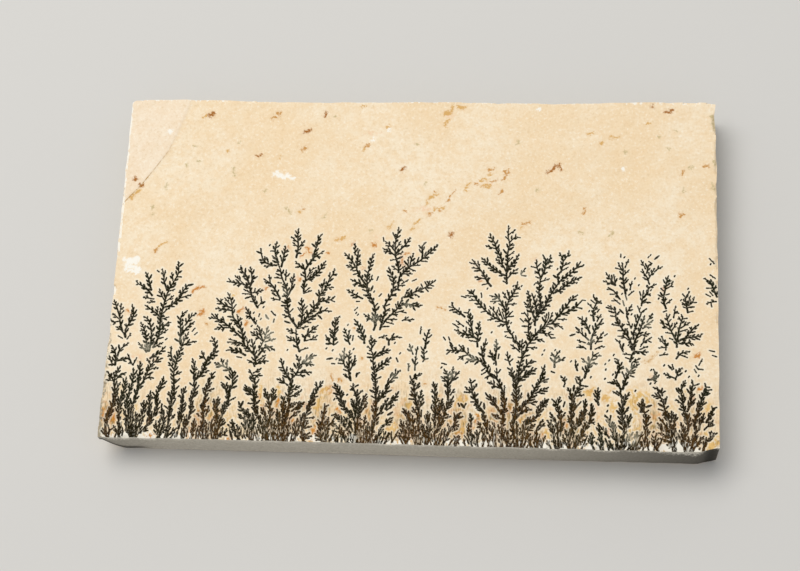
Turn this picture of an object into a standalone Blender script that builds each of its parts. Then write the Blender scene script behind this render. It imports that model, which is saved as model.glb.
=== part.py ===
"""A plate of dendritic limestone, lying on its back: one thin piece of natural stone.

The upper face is a cleft bedding plane with a low relief, the four sides are sawn, and the
underside is the next bedding plane down. The dendrites are a stain in the upper face, with no
height of their own, so they aren't part of this solid.

The plate starts as a block of graded lines, and each of its vertices is then moved to where
the stone's own shape puts it. X runs along the plate's width, Y towards its back edge and Z
up. The origin is in the middle of the face that the plate rests on.
"""

import bmesh
import bpy
import numpy as np

MM = 0.001

# Driving dimensions
PLATE_WIDTH = 96.0 * MM
PLATE_DEPTH = 57.9 * MM
PLATE_THICKNESS = 7.5 * MM

# The two bedding planes aren't quite parallel: how much the plate thickens from its middle to
# the right, for each length along X
FACE_RISE = 0.013

# The hand-sawn outline is a little out of square: how far each corner lies from a true
# rectangle's, as (x, y)
CORNER_SHIFT = {
    "front_left": (0.00 * MM, 0.12 * MM),
    "front_right": (0.06 * MM, -0.12 * MM),
    "back_left": (0.00 * MM, -0.09 * MM),
    "back_right": (-0.07 * MM, 0.09 * MM),
}

# The block: cells along each axis, and how strongly its lines crowd towards the edges, from
# 0, even, to 1
CELLS_ACROSS = 62
CELLS_DEEP = 38
SIDE_ROWS = 3
CROWDING = 0.72

# The saw wandered a little on each side: (place along the side, how far in from the straight
# line), with finer waves on top, and how far into the plate such a shift is felt
SIDE_WANDER = {
    "back": (
        (-47.0 * MM, 0.00 * MM),
        (-39.0 * MM, -0.10 * MM),
        (-31.7 * MM, -0.08 * MM),
        (-20.0 * MM, 0.20 * MM),
        (-7.5 * MM, 0.12 * MM),
        (4.8 * MM, 0.05 * MM),
        (22.8 * MM, 0.20 * MM),
        (35.7 * MM, -0.12 * MM),
        (45.4 * MM, -0.12 * MM),
        (47.8 * MM, 0.05 * MM),
    ),
    "right": (
        (-20.0 * MM, -0.15 * MM),
        (6.3 * MM, -0.08 * MM),
        (12.2 * MM, 0.00 * MM),
        (18.0 * MM, -0.08 * MM),
        (24.7 * MM, 0.08 * MM),
        (27.0 * MM, 0.30 * MM),
        (29.0 * MM, 0.05 * MM),
    ),
    "left": (
        (-29.0 * MM, -0.48 * MM),
        (-25.5 * MM, -0.52 * MM),
        (-18.0 * MM, -0.38 * MM),
        (-10.5 * MM, -0.17 * MM),
        (2.0 * MM, -0.15 * MM),
        (16.0 * MM, -0.10 * MM),
        (21.0 * MM, 0.02 * MM),
    ),
    "front": (
        (-46.0 * MM, 0.00 * MM),
        (-10.0 * MM, 0.08 * MM),
        (20.0 * MM, 0.00 * MM),
        (45.0 * MM, 0.06 * MM),
    ),
}
WANDER_WAVES = 0.035 * MM
WANDER_WAVELENGTH = 4.5 * MM
EDGE_REACH = 3.0 * MM

# Relief of the cleft bedding plane: (half height, wavelength, number of waves, seed)
BEDDING_WAVES = (
    (0.085 * MM, 34.0 * MM, 6, 11),
    (0.040 * MM, 11.0 * MM, 9, 12),
    (0.018 * MM, 4.2 * MM, 12, 13),
)

# A last lamina still lies on the back left corner, and ends in a low ledge along this line
LEDGE_HEIGHT = 0.13 * MM
LEDGE_WIDTH = 0.45 * MM
LEDGE_FRONT_END = (-49.7 * MM, 8.9 * MM)
LEDGE_BACK_END = (-38.6 * MM, 25.7 * MM)
LEDGE_WAVER = 0.45 * MM

# The front left corner of the underside is broken away
BREAK_HEIGHT = 5.2 * MM
BREAK_ALONG_FRONT = 4.0 * MM
BREAK_ALONG_SIDE = 7.5 * MM
BREAK_ROUNDNESS = 2.5

# Laminae that came off the underside: (x, y, half width, half depth, height), and how
# steeply such a hollow's rim rises
UNDERSIDE_SPALLS = (
    (38.0 * MM, 24.0 * MM, 15.0 * MM, 9.0 * MM, 0.55 * MM),
    (-34.0 * MM, 27.0 * MM, 9.0 * MM, 5.0 * MM, 0.35 * MM),
    (47.0 * MM, -8.0 * MM, 4.5 * MM, 8.0 * MM, 0.40 * MM),
)
SPALL_RIM = 5.0
SPALL_RAGGEDNESS = 0.16
SPALL_SEED = 41
UNDERSIDE_RIM_HEIGHT = 0.30 * MM
UNDERSIDE_RIM_REACH = 0.55 * MM

# Two corners of the outline are blunt: (how far along the front or back side, how far along
# the left or right side)
FRONT_RIGHT_BLUNT = (2.6 * MM, 0.75 * MM)
BACK_LEFT_BLUNT = (0.9 * MM, 0.5 * MM)

# Chips along the upper arris of the front side, as seen from left to right:
# (x, half width, reach into the face, depth)
FRONT_CHIPS = (
    (-46.5 * MM, 0.95 * MM, 0.80 * MM, 0.30 * MM),
    (-44.1 * MM, 0.65 * MM, 0.60 * MM, 0.50 * MM),
    (-40.7 * MM, 1.50 * MM, 0.90 * MM, 0.30 * MM),
    (-36.0 * MM, 0.80 * MM, 0.45 * MM, 0.30 * MM),
    (-30.4 * MM, 0.60 * MM, 0.40 * MM, 0.25 * MM),
    (-23.2 * MM, 1.10 * MM, 0.60 * MM, 0.30 * MM),
    (-18.3 * MM, 0.90 * MM, 0.50 * MM, 0.25 * MM),
    (-11.0 * MM, 0.70 * MM, 0.40 * MM, 0.30 * MM),
    (-2.9 * MM, 1.40 * MM, 0.80 * MM, 0.30 * MM),
    (2.7 * MM, 0.70 * MM, 0.55 * MM, 0.25 * MM),
    (7.8 * MM, 0.55 * MM, 0.40 * MM, 0.60 * MM),
    (12.0 * MM, 2.10 * MM, 0.90 * MM, 0.30 * MM),
    (22.8 * MM, 0.90 * MM, 0.50 * MM, 0.30 * MM),
    (31.0 * MM, 2.00 * MM, 0.70 * MM, 0.30 * MM),
    (41.0 * MM, 2.20 * MM, 1.30 * MM, 0.40 * MM),
)

# Nicks in the right side's upper arris, from front to back, in the same terms
RIGHT_NICKS = (
    (-2.6 * MM, 1.10 * MM, 0.45 * MM, 0.35 * MM),
    (1.7 * MM, 0.90 * MM, 0.50 * MM, 0.40 * MM),
    (11.0 * MM, 1.60 * MM, 0.40 * MM, 0.45 * MM),
    (20.0 * MM, 1.50 * MM, 0.35 * MM, 0.40 * MM),
    (25.6 * MM, 1.90 * MM, 0.75 * MM, 0.55 * MM),
)

# Small chips elsewhere on the other three sides: how many, and the least and most of their
# half width, reach and depth
SIDE_CHIPS = {"back": 16, "left": 10, "right": 12}
CHIP_HALF_WIDTH = (0.45 * MM, 1.60 * MM)
CHIP_REACH = (0.20 * MM, 0.55 * MM)
CHIP_DEPTH = (0.12 * MM, 0.40 * MM)
CHIP_SEED = 21

STONE_COLOUR = (0.87, 0.72, 0.50, 1.0)
STONE_ROUGHNESS = 0.75


def clear_scene():
    for leftover in list(bpy.data.objects):
        bpy.data.objects.remove(leftover)


def waves(x, y, wavelength, count, seed):
    """Sum of plane waves of about one length, in seeded directions, from about -1 to 1."""
    rng = np.random.default_rng(seed)
    total = np.zeros(np.broadcast(x, y).shape)
    for _ in range(count):
        heading, phase = rng.uniform(0.0, 2.0 * np.pi, 2)
        pitch = 2.0 * np.pi / (wavelength * rng.uniform(0.7, 1.4))
        total += np.sin(pitch * (x * np.cos(heading) + y * np.sin(heading)) + phase)
    return total / np.sqrt(count)


def smooth_step(low, high, value):
    share = np.clip((value - low) / (high - low), 0.0, 1.0)
    return share * share * (3.0 - 2.0 * share)


def graded(share):
    """Even shares from 0 to 1 moved so that they crowd towards both ends."""
    return share - CROWDING / (2.0 * np.pi) * np.sin(2.0 * np.pi * share)


def blunt(distance_along, distance_in, along, inward):
    """How far a side steps back near a blunt corner, fading away from that side."""
    at_side = inward * np.clip(1.0 - distance_along / along, 0.0, 1.0)
    return at_side * np.clip(1.0 - distance_in / EDGE_REACH, 0.0, 1.0)


def outline(u, v):
    """Where the shares u across and v deep lie in plan: the four corners blended, then each
    side moved by the saw's wander and by its blunt corners."""
    half = np.array([PLATE_WIDTH, PLATE_DEPTH]) / 2.0
    corner = {
        name: half * (1 if "right" in name else -1, 1 if "back" in name else -1) + shift
        for name, shift in CORNER_SHIFT.items()
    }
    u, v = u[..., None], v[..., None]
    front = corner["front_left"] * (1 - u) + corner["front_right"] * u
    back = corner["back_left"] * (1 - u) + corner["back_right"] * u
    x, y = np.moveaxis(front * (1 - v) + back * v, -1, 0)
    from_left, from_right = x + half[0], half[0] - x
    from_front, from_back = y + half[1], half[1] - y
    sides = (
        ("left", from_left, y, 31, np.array([1, 0])),
        ("right", from_right, y, 32, np.array([-1, 0])),
        ("front", from_front, x, 33, np.array([0, 1])),
        ("back", from_back, x, 34, np.array([0, -1])),
    )
    moved = np.stack([x, y])
    for name, distance, along, seed, inward in sides:
        wander = np.interp(along, *np.transpose(SIDE_WANDER[name]))
        wander = wander + WANDER_WAVES * waves(along, 0.0 * along, WANDER_WAVELENGTH, 5, seed)
        fade = np.clip(1.0 - distance / EDGE_REACH, 0.0, 1.0)
        moved = moved + inward[:, None] * wander * fade
    moved[1] += blunt(from_right, from_front, *FRONT_RIGHT_BLUNT)
    moved[1] -= blunt(from_left, from_back, *BACK_LEFT_BLUNT)
    return moved


def chip_depth(along, distance, chips):
    """Depth of the chips of one arris: each is a scallop that is deepest at the arris and
    runs out at its reach."""
    depth = np.zeros(along.shape)
    for place, half_width, reach, deepest in chips:
        across = 1.0 - ((along - place) / half_width) ** 2
        here = reach * np.sqrt(np.clip(across, 0.0, 1.0))
        share = np.clip(1.0 - distance / np.maximum(here, 1e-9), 0.0, 1.0)
        depth = np.maximum(depth, deepest * share * (here > 0.0))
    return depth


def random_chips(count, half_length, rng):
    """Chips at seeded places along a side of this half length."""
    return [
        (
            rng.uniform(-half_length, half_length),
            rng.uniform(*CHIP_HALF_WIDTH),
            rng.uniform(*CHIP_REACH),
            rng.uniform(*CHIP_DEPTH),
        )
        for _ in range(count)
    ]


def all_chips(x, y):
    """Depth of every arris chip of the upper face at these points."""
    rng = np.random.default_rng(CHIP_SEED)
    half_x, half_y = PLATE_WIDTH / 2.0, PLATE_DEPTH / 2.0
    sides = (
        (x, half_y - y, random_chips(SIDE_CHIPS["back"], half_x, rng)),
        (y, x + half_x, random_chips(SIDE_CHIPS["left"], half_y, rng)),
        (y, half_x - x, random_chips(SIDE_CHIPS["right"], half_y, rng)),
        (y, half_x - x, RIGHT_NICKS),
        (x, y + half_y, FRONT_CHIPS),
    )
    depth = np.zeros(x.shape)
    for along, distance, chips in sides:
        depth = np.maximum(depth, chip_depth(along, distance, chips))
    return depth


def ledge(x, y):
    """Height of the last lamina: full on the corner's side of its line, none past it."""
    start, end = np.array(LEDGE_FRONT_END), np.array(LEDGE_BACK_END)
    run = (end - start) / np.linalg.norm(end - start)
    along = (x - start[0]) * run[0] + (y - start[1]) * run[1]
    past = (x - start[0]) * run[1] - (y - start[1]) * run[0]
    past = past + LEDGE_WAVER * waves(along, 0.0 * along, 7.0 * MM, 4, 35)
    return LEDGE_HEIGHT * smooth_step(LEDGE_WIDTH / 2.0, -LEDGE_WIDTH / 2.0, past)


def upper_face(x, y):
    """Height of the bedding plane: the thickness where it is, its relief and ledge, less the
    chips."""
    thickness = PLATE_THICKNESS + FACE_RISE * x
    relief = sum(h * waves(x, y, length, n, seed) for h, length, n, seed in BEDDING_WAVES)
    return thickness - LEDGE_HEIGHT + relief + ledge(x, y) - all_chips(x, y)


def underside(x, y):
    """Height of the underside: flat where it rests, raised in the broken corner, in the
    spalls and in a narrow rim along the sides."""
    half_x, half_y = PLATE_WIDTH / 2.0, PLATE_DEPTH / 2.0
    share = (x + half_x) / BREAK_ALONG_FRONT + (y + half_y) / BREAK_ALONG_SIDE
    height = BREAK_HEIGHT * np.clip(1.0 - share, 0.0, 1.0) ** BREAK_ROUNDNESS
    ragged = SPALL_RAGGEDNESS * waves(x, y, 6.0 * MM, 8, SPALL_SEED)
    for place_x, place_y, half_width, half_depth, depth in UNDERSIDE_SPALLS:
        out = np.hypot((x - place_x) / half_width, (y - place_y) / half_depth) + ragged
        height = np.maximum(height, depth * np.clip(SPALL_RIM * (1.0 - out), 0.0, 1.0))
    to_side = np.minimum(half_x - np.abs(x), half_y - np.abs(y))
    rim = UNDERSIDE_RIM_HEIGHT * np.clip(1.0 - to_side / UNDERSIDE_RIM_REACH, 0.0, 1.0)
    return np.maximum(height, rim)


def graded_block():
    """A unit block of quads: a grid, extruded up, with its side walls cut into rows."""
    mesh = bmesh.new()
    bmesh.ops.create_grid(mesh, x_segments=CELLS_ACROSS, y_segments=CELLS_DEEP, size=0.5)
    made = bmesh.ops.extrude_face_region(mesh, geom=mesh.faces[:], use_keep_orig=True)
    lifted = [item for item in made["geom"] if isinstance(item, bmesh.types.BMVert)]
    bmesh.ops.translate(mesh, verts=lifted, vec=(0.0, 0.0, 1.0))
    uprights = [
        edge for edge in mesh.edges if abs(edge.verts[0].co.z - edge.verts[1].co.z) > 0.5
    ]
    bmesh.ops.subdivide_edges(mesh, edges=uprights, cuts=SIDE_ROWS - 1, use_grid_fill=True)
    bmesh.ops.recalc_face_normals(mesh, faces=mesh.faces[:])
    return mesh


def shape_plate(mesh):
    """Moves each vertex of the unit block to its place in the stone."""
    block = np.array([vertex.co[:] for vertex in mesh.verts])
    u, v = graded(block[:, 0] + 0.5), graded(block[:, 1] + 0.5)
    x, y = outline(u, v)
    low, high = underside(x, y), upper_face(x, y)
    z = low + (high - low) * block[:, 2]
    for vertex, place in zip(mesh.verts, np.stack([x, y, z], axis=1)):
        vertex.co = place


def stone_material():
    material = bpy.data.materials.new("limestone")
    material.use_nodes = True
    shader = material.node_tree.nodes["Principled BSDF"]
    shader.inputs["Base Color"].default_value = STONE_COLOUR
    shader.inputs["Roughness"].default_value = STONE_ROUGHNESS
    shader.inputs["Metallic"].default_value = 0.0
    return material


def limestone_plate():
    shape = graded_block()
    shape_plate(shape)
    mesh = bpy.data.meshes.new("limestone_plate")
    shape.to_mesh(mesh)
    shape.free()
    mesh.materials.append(stone_material())
    mesh.shade_smooth()
    mesh.set_sharp_from_angle(angle=np.radians(35.0))
    plate = bpy.data.objects.new("limestone_plate", mesh)
    bpy.context.scene.collection.objects.link(plate)
    return plate


clear_scene()
limestone_plate()
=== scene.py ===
"""The finish of a plate of dendritic limestone: one thin piece of natural stone, seen from above.

The plate is one closed surface: a grid for the cleft face, walls down its four sawn sides and a
coarser grid for the underside. Its dendrites are a stain with no height. Each cell of the face
carries, at its corners, its place beside the limbs nearest to it, and the stone's material
draws the limbs from that. All lengths are in millimetres until the mesh is made.
"""

import bpy
import numpy as np
from mathutils import Matrix, Vector


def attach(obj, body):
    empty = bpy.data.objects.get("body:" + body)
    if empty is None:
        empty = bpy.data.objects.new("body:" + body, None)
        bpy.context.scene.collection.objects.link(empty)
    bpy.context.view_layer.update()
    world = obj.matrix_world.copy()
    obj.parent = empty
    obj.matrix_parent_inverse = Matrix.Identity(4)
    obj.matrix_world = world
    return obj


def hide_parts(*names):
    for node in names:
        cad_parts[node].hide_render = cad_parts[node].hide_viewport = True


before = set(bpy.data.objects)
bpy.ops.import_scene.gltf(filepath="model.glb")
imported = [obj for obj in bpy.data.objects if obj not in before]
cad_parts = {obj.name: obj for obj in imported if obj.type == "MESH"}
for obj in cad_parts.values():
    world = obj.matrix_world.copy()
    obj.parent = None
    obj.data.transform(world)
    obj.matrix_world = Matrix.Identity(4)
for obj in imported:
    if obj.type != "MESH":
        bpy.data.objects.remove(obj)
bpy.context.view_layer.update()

MM = 0.001
PLATE = "limestone_plate"

# The sawn plate, before its sides wander: the frame's box less what the wander adds
PLATE_WIDTH = 96.0
PLATE_DEPTH = 57.9
PLATE_THICKNESS = 7.5
HALF = np.array([PLATE_WIDTH, PLATE_DEPTH]) / 2.0

# How much the plate thickens from its middle to the right, for each length along X
FACE_RISE = 0.013

# How far each corner lies from a true rectangle's, as (x, y)
CORNER_SHIFT = {
    "front_left": (0.00, 0.12),
    "front_right": (0.06, -0.12),
    "back_left": (0.00, -0.09),
    "back_right": (-0.07, 0.09),
}

# Lines of the face's grid: close together along the sides, then even cells, of which the
# underside takes one line in four. The walls' rows lie at shares of their height from below, and
# the mesh is drawn sharp where it turns by more degrees than the angle.
EDGE_LINES = (0.07, 0.16, 0.27, 0.40, 0.56, 0.75)
CELLS_ACROSS = 360
CELLS_DEEP = 216
UNDERSIDE_STEP = 4
WALL_ROWS = (0.05, 0.13, 0.26, 0.44, 0.62, 0.78, 0.90, 0.965, 1.0)
SHARP_ANGLE = 38.0

# How far in each side's saw cut wandered: (place along the side, how far in)
SIDE_WANDER = {
    "back": (
        (-47.0, 0.00), (-39.0, -0.10), (-31.7, -0.08), (-20.0, 0.20), (-7.5, 0.12),
        (4.8, 0.05), (22.8, 0.20), (35.7, -0.12), (45.4, -0.12), (47.8, 0.05),
    ),
    "right": (
        (-20.0, -0.15), (6.3, -0.08), (12.2, 0.00), (18.0, -0.08), (24.7, 0.08), (27.0, 0.30),
        (29.0, 0.05),
    ),
    "left": (
        (-29.0, -0.48), (-25.5, -0.52), (-18.0, -0.38), (-10.5, -0.17), (2.0, -0.15),
        (16.0, -0.10), (21.0, 0.02),
    ),
    "front": ((-46.0, 0.00), (-10.0, 0.08), (20.0, 0.00), (45.0, 0.06)),
}
WANDER_WAVES = 0.035
WANDER_WAVELENGTH = 4.5
EDGE_REACH = 3.0
FRONT_RIGHT_BLUNT = (2.6, 0.75)
BACK_LEFT_BLUNT = (0.9, 0.5)

# Relief of the cleft face: (half height, wavelength, number of waves, seed). The last two are
# the fine ripple that the solid leaves out.
BEDDING_WAVES = (
    (0.085, 34.0, 6, 11),
    (0.040, 11.0, 9, 12),
    (0.018, 4.2, 12, 13),
    (0.008, 2.1, 16, 14),
    (0.004, 1.1, 20, 15),
)

# The last lamina's low ledge on the back left corner
LEDGE_HEIGHT = 0.13
LEDGE_WIDTH = 0.30
LEDGE_SLANT = 0.82
LEDGE_LINE = (
    (8.9, -49.7), (10.8, -47.7), (12.0, -46.7), (13.8, -45.2), (15.6, -44.0), (17.8, -42.5),
    (19.8, -41.2), (22.4, -40.2), (25.7, -39.0), (29.3, -38.0),
)

# The broken corner of the underside, its spalls, each with the x and y of its middle, half width,
# half depth and height, and its narrow worn rim
BREAK_HEIGHT = 5.2
BREAK_ALONG_FRONT = 4.0
BREAK_ALONG_SIDE = 7.5
BREAK_ROUNDNESS = 2.5
UNDERSIDE_SPALLS = (
    (38.0, 24.0, 15.0, 9.0, 0.55),
    (-34.0, 27.0, 9.0, 5.0, 0.35),
    (47.0, -8.0, 4.5, 8.0, 0.40),
)
SPALL_RIM = 5.0
SPALL_RAGGEDNESS = 0.16
SPALL_WAVES = (6.0, 8, 41)
UNDERSIDE_RIM_HEIGHT = 0.30
UNDERSIDE_RIM_REACH = 0.55

# Chips along the front side's upper arris: (x, half width, reach into the face, depth)
FRONT_CHIPS = (
    (-46.5, 0.95, 0.80, 0.30),
    (-44.1, 0.65, 0.60, 0.50),
    (-40.7, 1.50, 0.90, 0.30),
    (-36.0, 0.80, 0.45, 0.30),
    (-30.4, 0.60, 0.40, 0.25),
    (-23.2, 1.10, 0.60, 0.30),
    (-18.3, 0.90, 0.50, 0.25),
    (-11.0, 0.70, 0.40, 0.30),
    (-2.9, 1.40, 0.80, 0.30),
    (2.7, 0.70, 0.55, 0.25),
    (7.8, 0.55, 0.40, 0.60),
    (12.0, 2.10, 0.90, 0.30),
    (22.8, 0.90, 0.50, 0.30),
    (31.0, 2.00, 0.70, 0.30),
    (41.0, 2.20, 1.30, 0.40),
)
RIGHT_NICKS = (
    (-2.6, 1.10, 0.45, 0.35),
    (1.7, 0.90, 0.50, 0.40),
    (11.0, 1.60, 0.40, 0.45),
    (20.0, 1.50, 0.35, 0.40),
    (25.6, 1.90, 0.75, 0.55),
)
SIDE_CHIPS = {"back": 16, "left": 10, "right": 12}
CHIP_HALF_WIDTH = (0.45, 1.60)
CHIP_REACH = (0.20, 0.55)
CHIP_DEPTH = (0.12, 0.40)
CHIP_SEED = 21


def smooth_step(low, high, value):
    """0 at low and before it, 1 at high and past it, and the cubic 3s² - 2s³ of the share s
    between them."""
    share = np.clip((value - low) / (high - low), 0.0, 1.0)
    return share * share * (3.0 - 2.0 * share)


def waves(x, y, wavelength, count, seed):
    """Sum of plane waves of about one length in seeded directions, over the root of their
    number, so it runs from about -1 to 1."""
    rng = np.random.default_rng(seed)
    total = np.zeros(np.broadcast(x, y).shape)
    for _ in range(count):
        heading, phase = rng.uniform(0.0, 2.0 * np.pi, 2)
        pitch = 2.0 * np.pi / (wavelength * rng.uniform(0.7, 1.4))
        total += np.sin(pitch * (x * np.cos(heading) + y * np.sin(heading)) + phase)
    return total / np.sqrt(count)


def blunt(distance_along, distance_in, along, inward):
    """A side's step back near a blunt corner: it falls evenly to nothing at `along` from the
    corner, and again at the edge's reach into the plate."""
    at_side = inward * np.clip(1.0 - distance_along / along, 0.0, 1.0)
    return at_side * np.clip(1.0 - distance_in / EDGE_REACH, 0.0, 1.0)


def outline(u, v):
    """Shares u across and v deep to places in plan: the four corners blended bilinearly, then
    each side moved in by its wander and its blunt corners, fading over the edge's reach."""
    corner = {
        name: HALF * (1 if "right" in name else -1, 1 if "back" in name else -1) + shift
        for name, shift in CORNER_SHIFT.items()
    }
    u, v = u[..., None], v[..., None]
    front = corner["front_left"] * (1 - u) + corner["front_right"] * u
    back = corner["back_left"] * (1 - u) + corner["back_right"] * u
    x, y = np.moveaxis(front * (1 - v) + back * v, -1, 0)
    from_left, from_right = x + HALF[0], HALF[0] - x
    from_front, from_back = y + HALF[1], HALF[1] - y
    sides = (
        ("left", from_left, y, 31, (1, 0)),
        ("right", from_right, y, 32, (-1, 0)),
        ("front", from_front, x, 33, (0, 1)),
        ("back", from_back, x, 34, (0, -1)),
    )
    moved = np.stack([x, y])
    for name, distance, along, seed, inward in sides:
        wander = np.interp(along, *np.transpose(SIDE_WANDER[name]))
        wander = wander + WANDER_WAVES * waves(along, 0.0 * along, WANDER_WAVELENGTH, 5, seed)
        fade = np.clip(1.0 - distance / EDGE_REACH, 0.0, 1.0)
        moved[0] += inward[0] * wander * fade
        moved[1] += inward[1] * wander * fade
    moved[1] += blunt(from_right, from_front, *FRONT_RIGHT_BLUNT)
    moved[1] -= blunt(from_left, from_back, *BACK_LEFT_BLUNT)
    return moved


def chip_depth(along, distance, chips):
    """Each chip is a scallop: its reach follows a half circle along the arris, and its depth
    falls evenly from the arris to that reach."""
    depth = np.zeros(along.shape)
    for place, half_width, reach, deepest in chips:
        across = 1.0 - ((along - place) / half_width) ** 2
        here = reach * np.sqrt(np.clip(across, 0.0, 1.0))
        share = np.clip(1.0 - distance / np.maximum(here, 1e-6), 0.0, 1.0)
        depth = np.maximum(depth, deepest * share * (here > 0.0))
    return depth


def random_chips(count, half_length, rng):
    """Chips at seeded places along a side of this half length."""
    return [
        (
            rng.uniform(-half_length, half_length),
            rng.uniform(*CHIP_HALF_WIDTH),
            rng.uniform(*CHIP_REACH),
            rng.uniform(*CHIP_DEPTH),
        )
        for _ in range(count)
    ]


def all_chips(x, y):
    """Depth of every chip of the upper arris at these places: the deepest one counts."""
    rng = np.random.default_rng(CHIP_SEED)
    sides = (
        (x, HALF[1] - y, random_chips(SIDE_CHIPS["back"], HALF[0], rng)),
        (y, x + HALF[0], random_chips(SIDE_CHIPS["left"], HALF[1], rng)),
        (y, HALF[0] - x, random_chips(SIDE_CHIPS["right"], HALF[1], rng)),
        (y, HALF[0] - x, RIGHT_NICKS),
        (x, y + HALF[1], FRONT_CHIPS),
    )
    depth = np.zeros(x.shape)
    for along, distance, chips in sides:
        depth = np.maximum(depth, chip_depth(along, distance, chips))
    return depth


def past_ledge(x, y):
    """How far a place lies past the ledge's line, across it: the line's x at this y is read
    off between its points, and the run along x is shortened by the line's slant."""
    return (x - np.interp(y, *np.transpose(LEDGE_LINE))) * LEDGE_SLANT


def ledge(x, y):
    """Height of the last lamina: a smooth step down across its line."""
    return LEDGE_HEIGHT * smooth_step(LEDGE_WIDTH / 2.0, -LEDGE_WIDTH / 2.0, past_ledge(x, y))


def upper_face(x, y):
    """Height of the cleft face: the thickness, which rises evenly along X, plus relief and
    ledge, less the chips."""
    thickness = PLATE_THICKNESS + FACE_RISE * x
    relief = sum(h * waves(x, y, length, n, seed) for h, length, n, seed in BEDDING_WAVES)
    return thickness - LEDGE_HEIGHT + relief + ledge(x, y) - all_chips(x, y)


def underside(x, y):
    """Height of the underside: the highest of the broken corner's power curve, each spall's
    flat-topped bowl and the rim's even rise towards the sides."""
    share = (x + HALF[0]) / BREAK_ALONG_FRONT + (y + HALF[1]) / BREAK_ALONG_SIDE
    height = BREAK_HEIGHT * np.clip(1.0 - share, 0.0, 1.0) ** BREAK_ROUNDNESS
    ragged = SPALL_RAGGEDNESS * waves(x, y, *SPALL_WAVES)
    for place_x, place_y, half_width, half_depth, depth in UNDERSIDE_SPALLS:
        out = np.hypot((x - place_x) / half_width, (y - place_y) / half_depth) + ragged
        height = np.maximum(height, depth * np.clip(SPALL_RIM * (1.0 - out), 0.0, 1.0))
    to_side = np.minimum(HALF[0] - np.abs(x), HALF[1] - np.abs(y))
    rim = UNDERSIDE_RIM_HEIGHT * np.clip(1.0 - to_side / UNDERSIDE_RIM_REACH, 0.0, 1.0)
    return np.maximum(height, rim)


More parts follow.
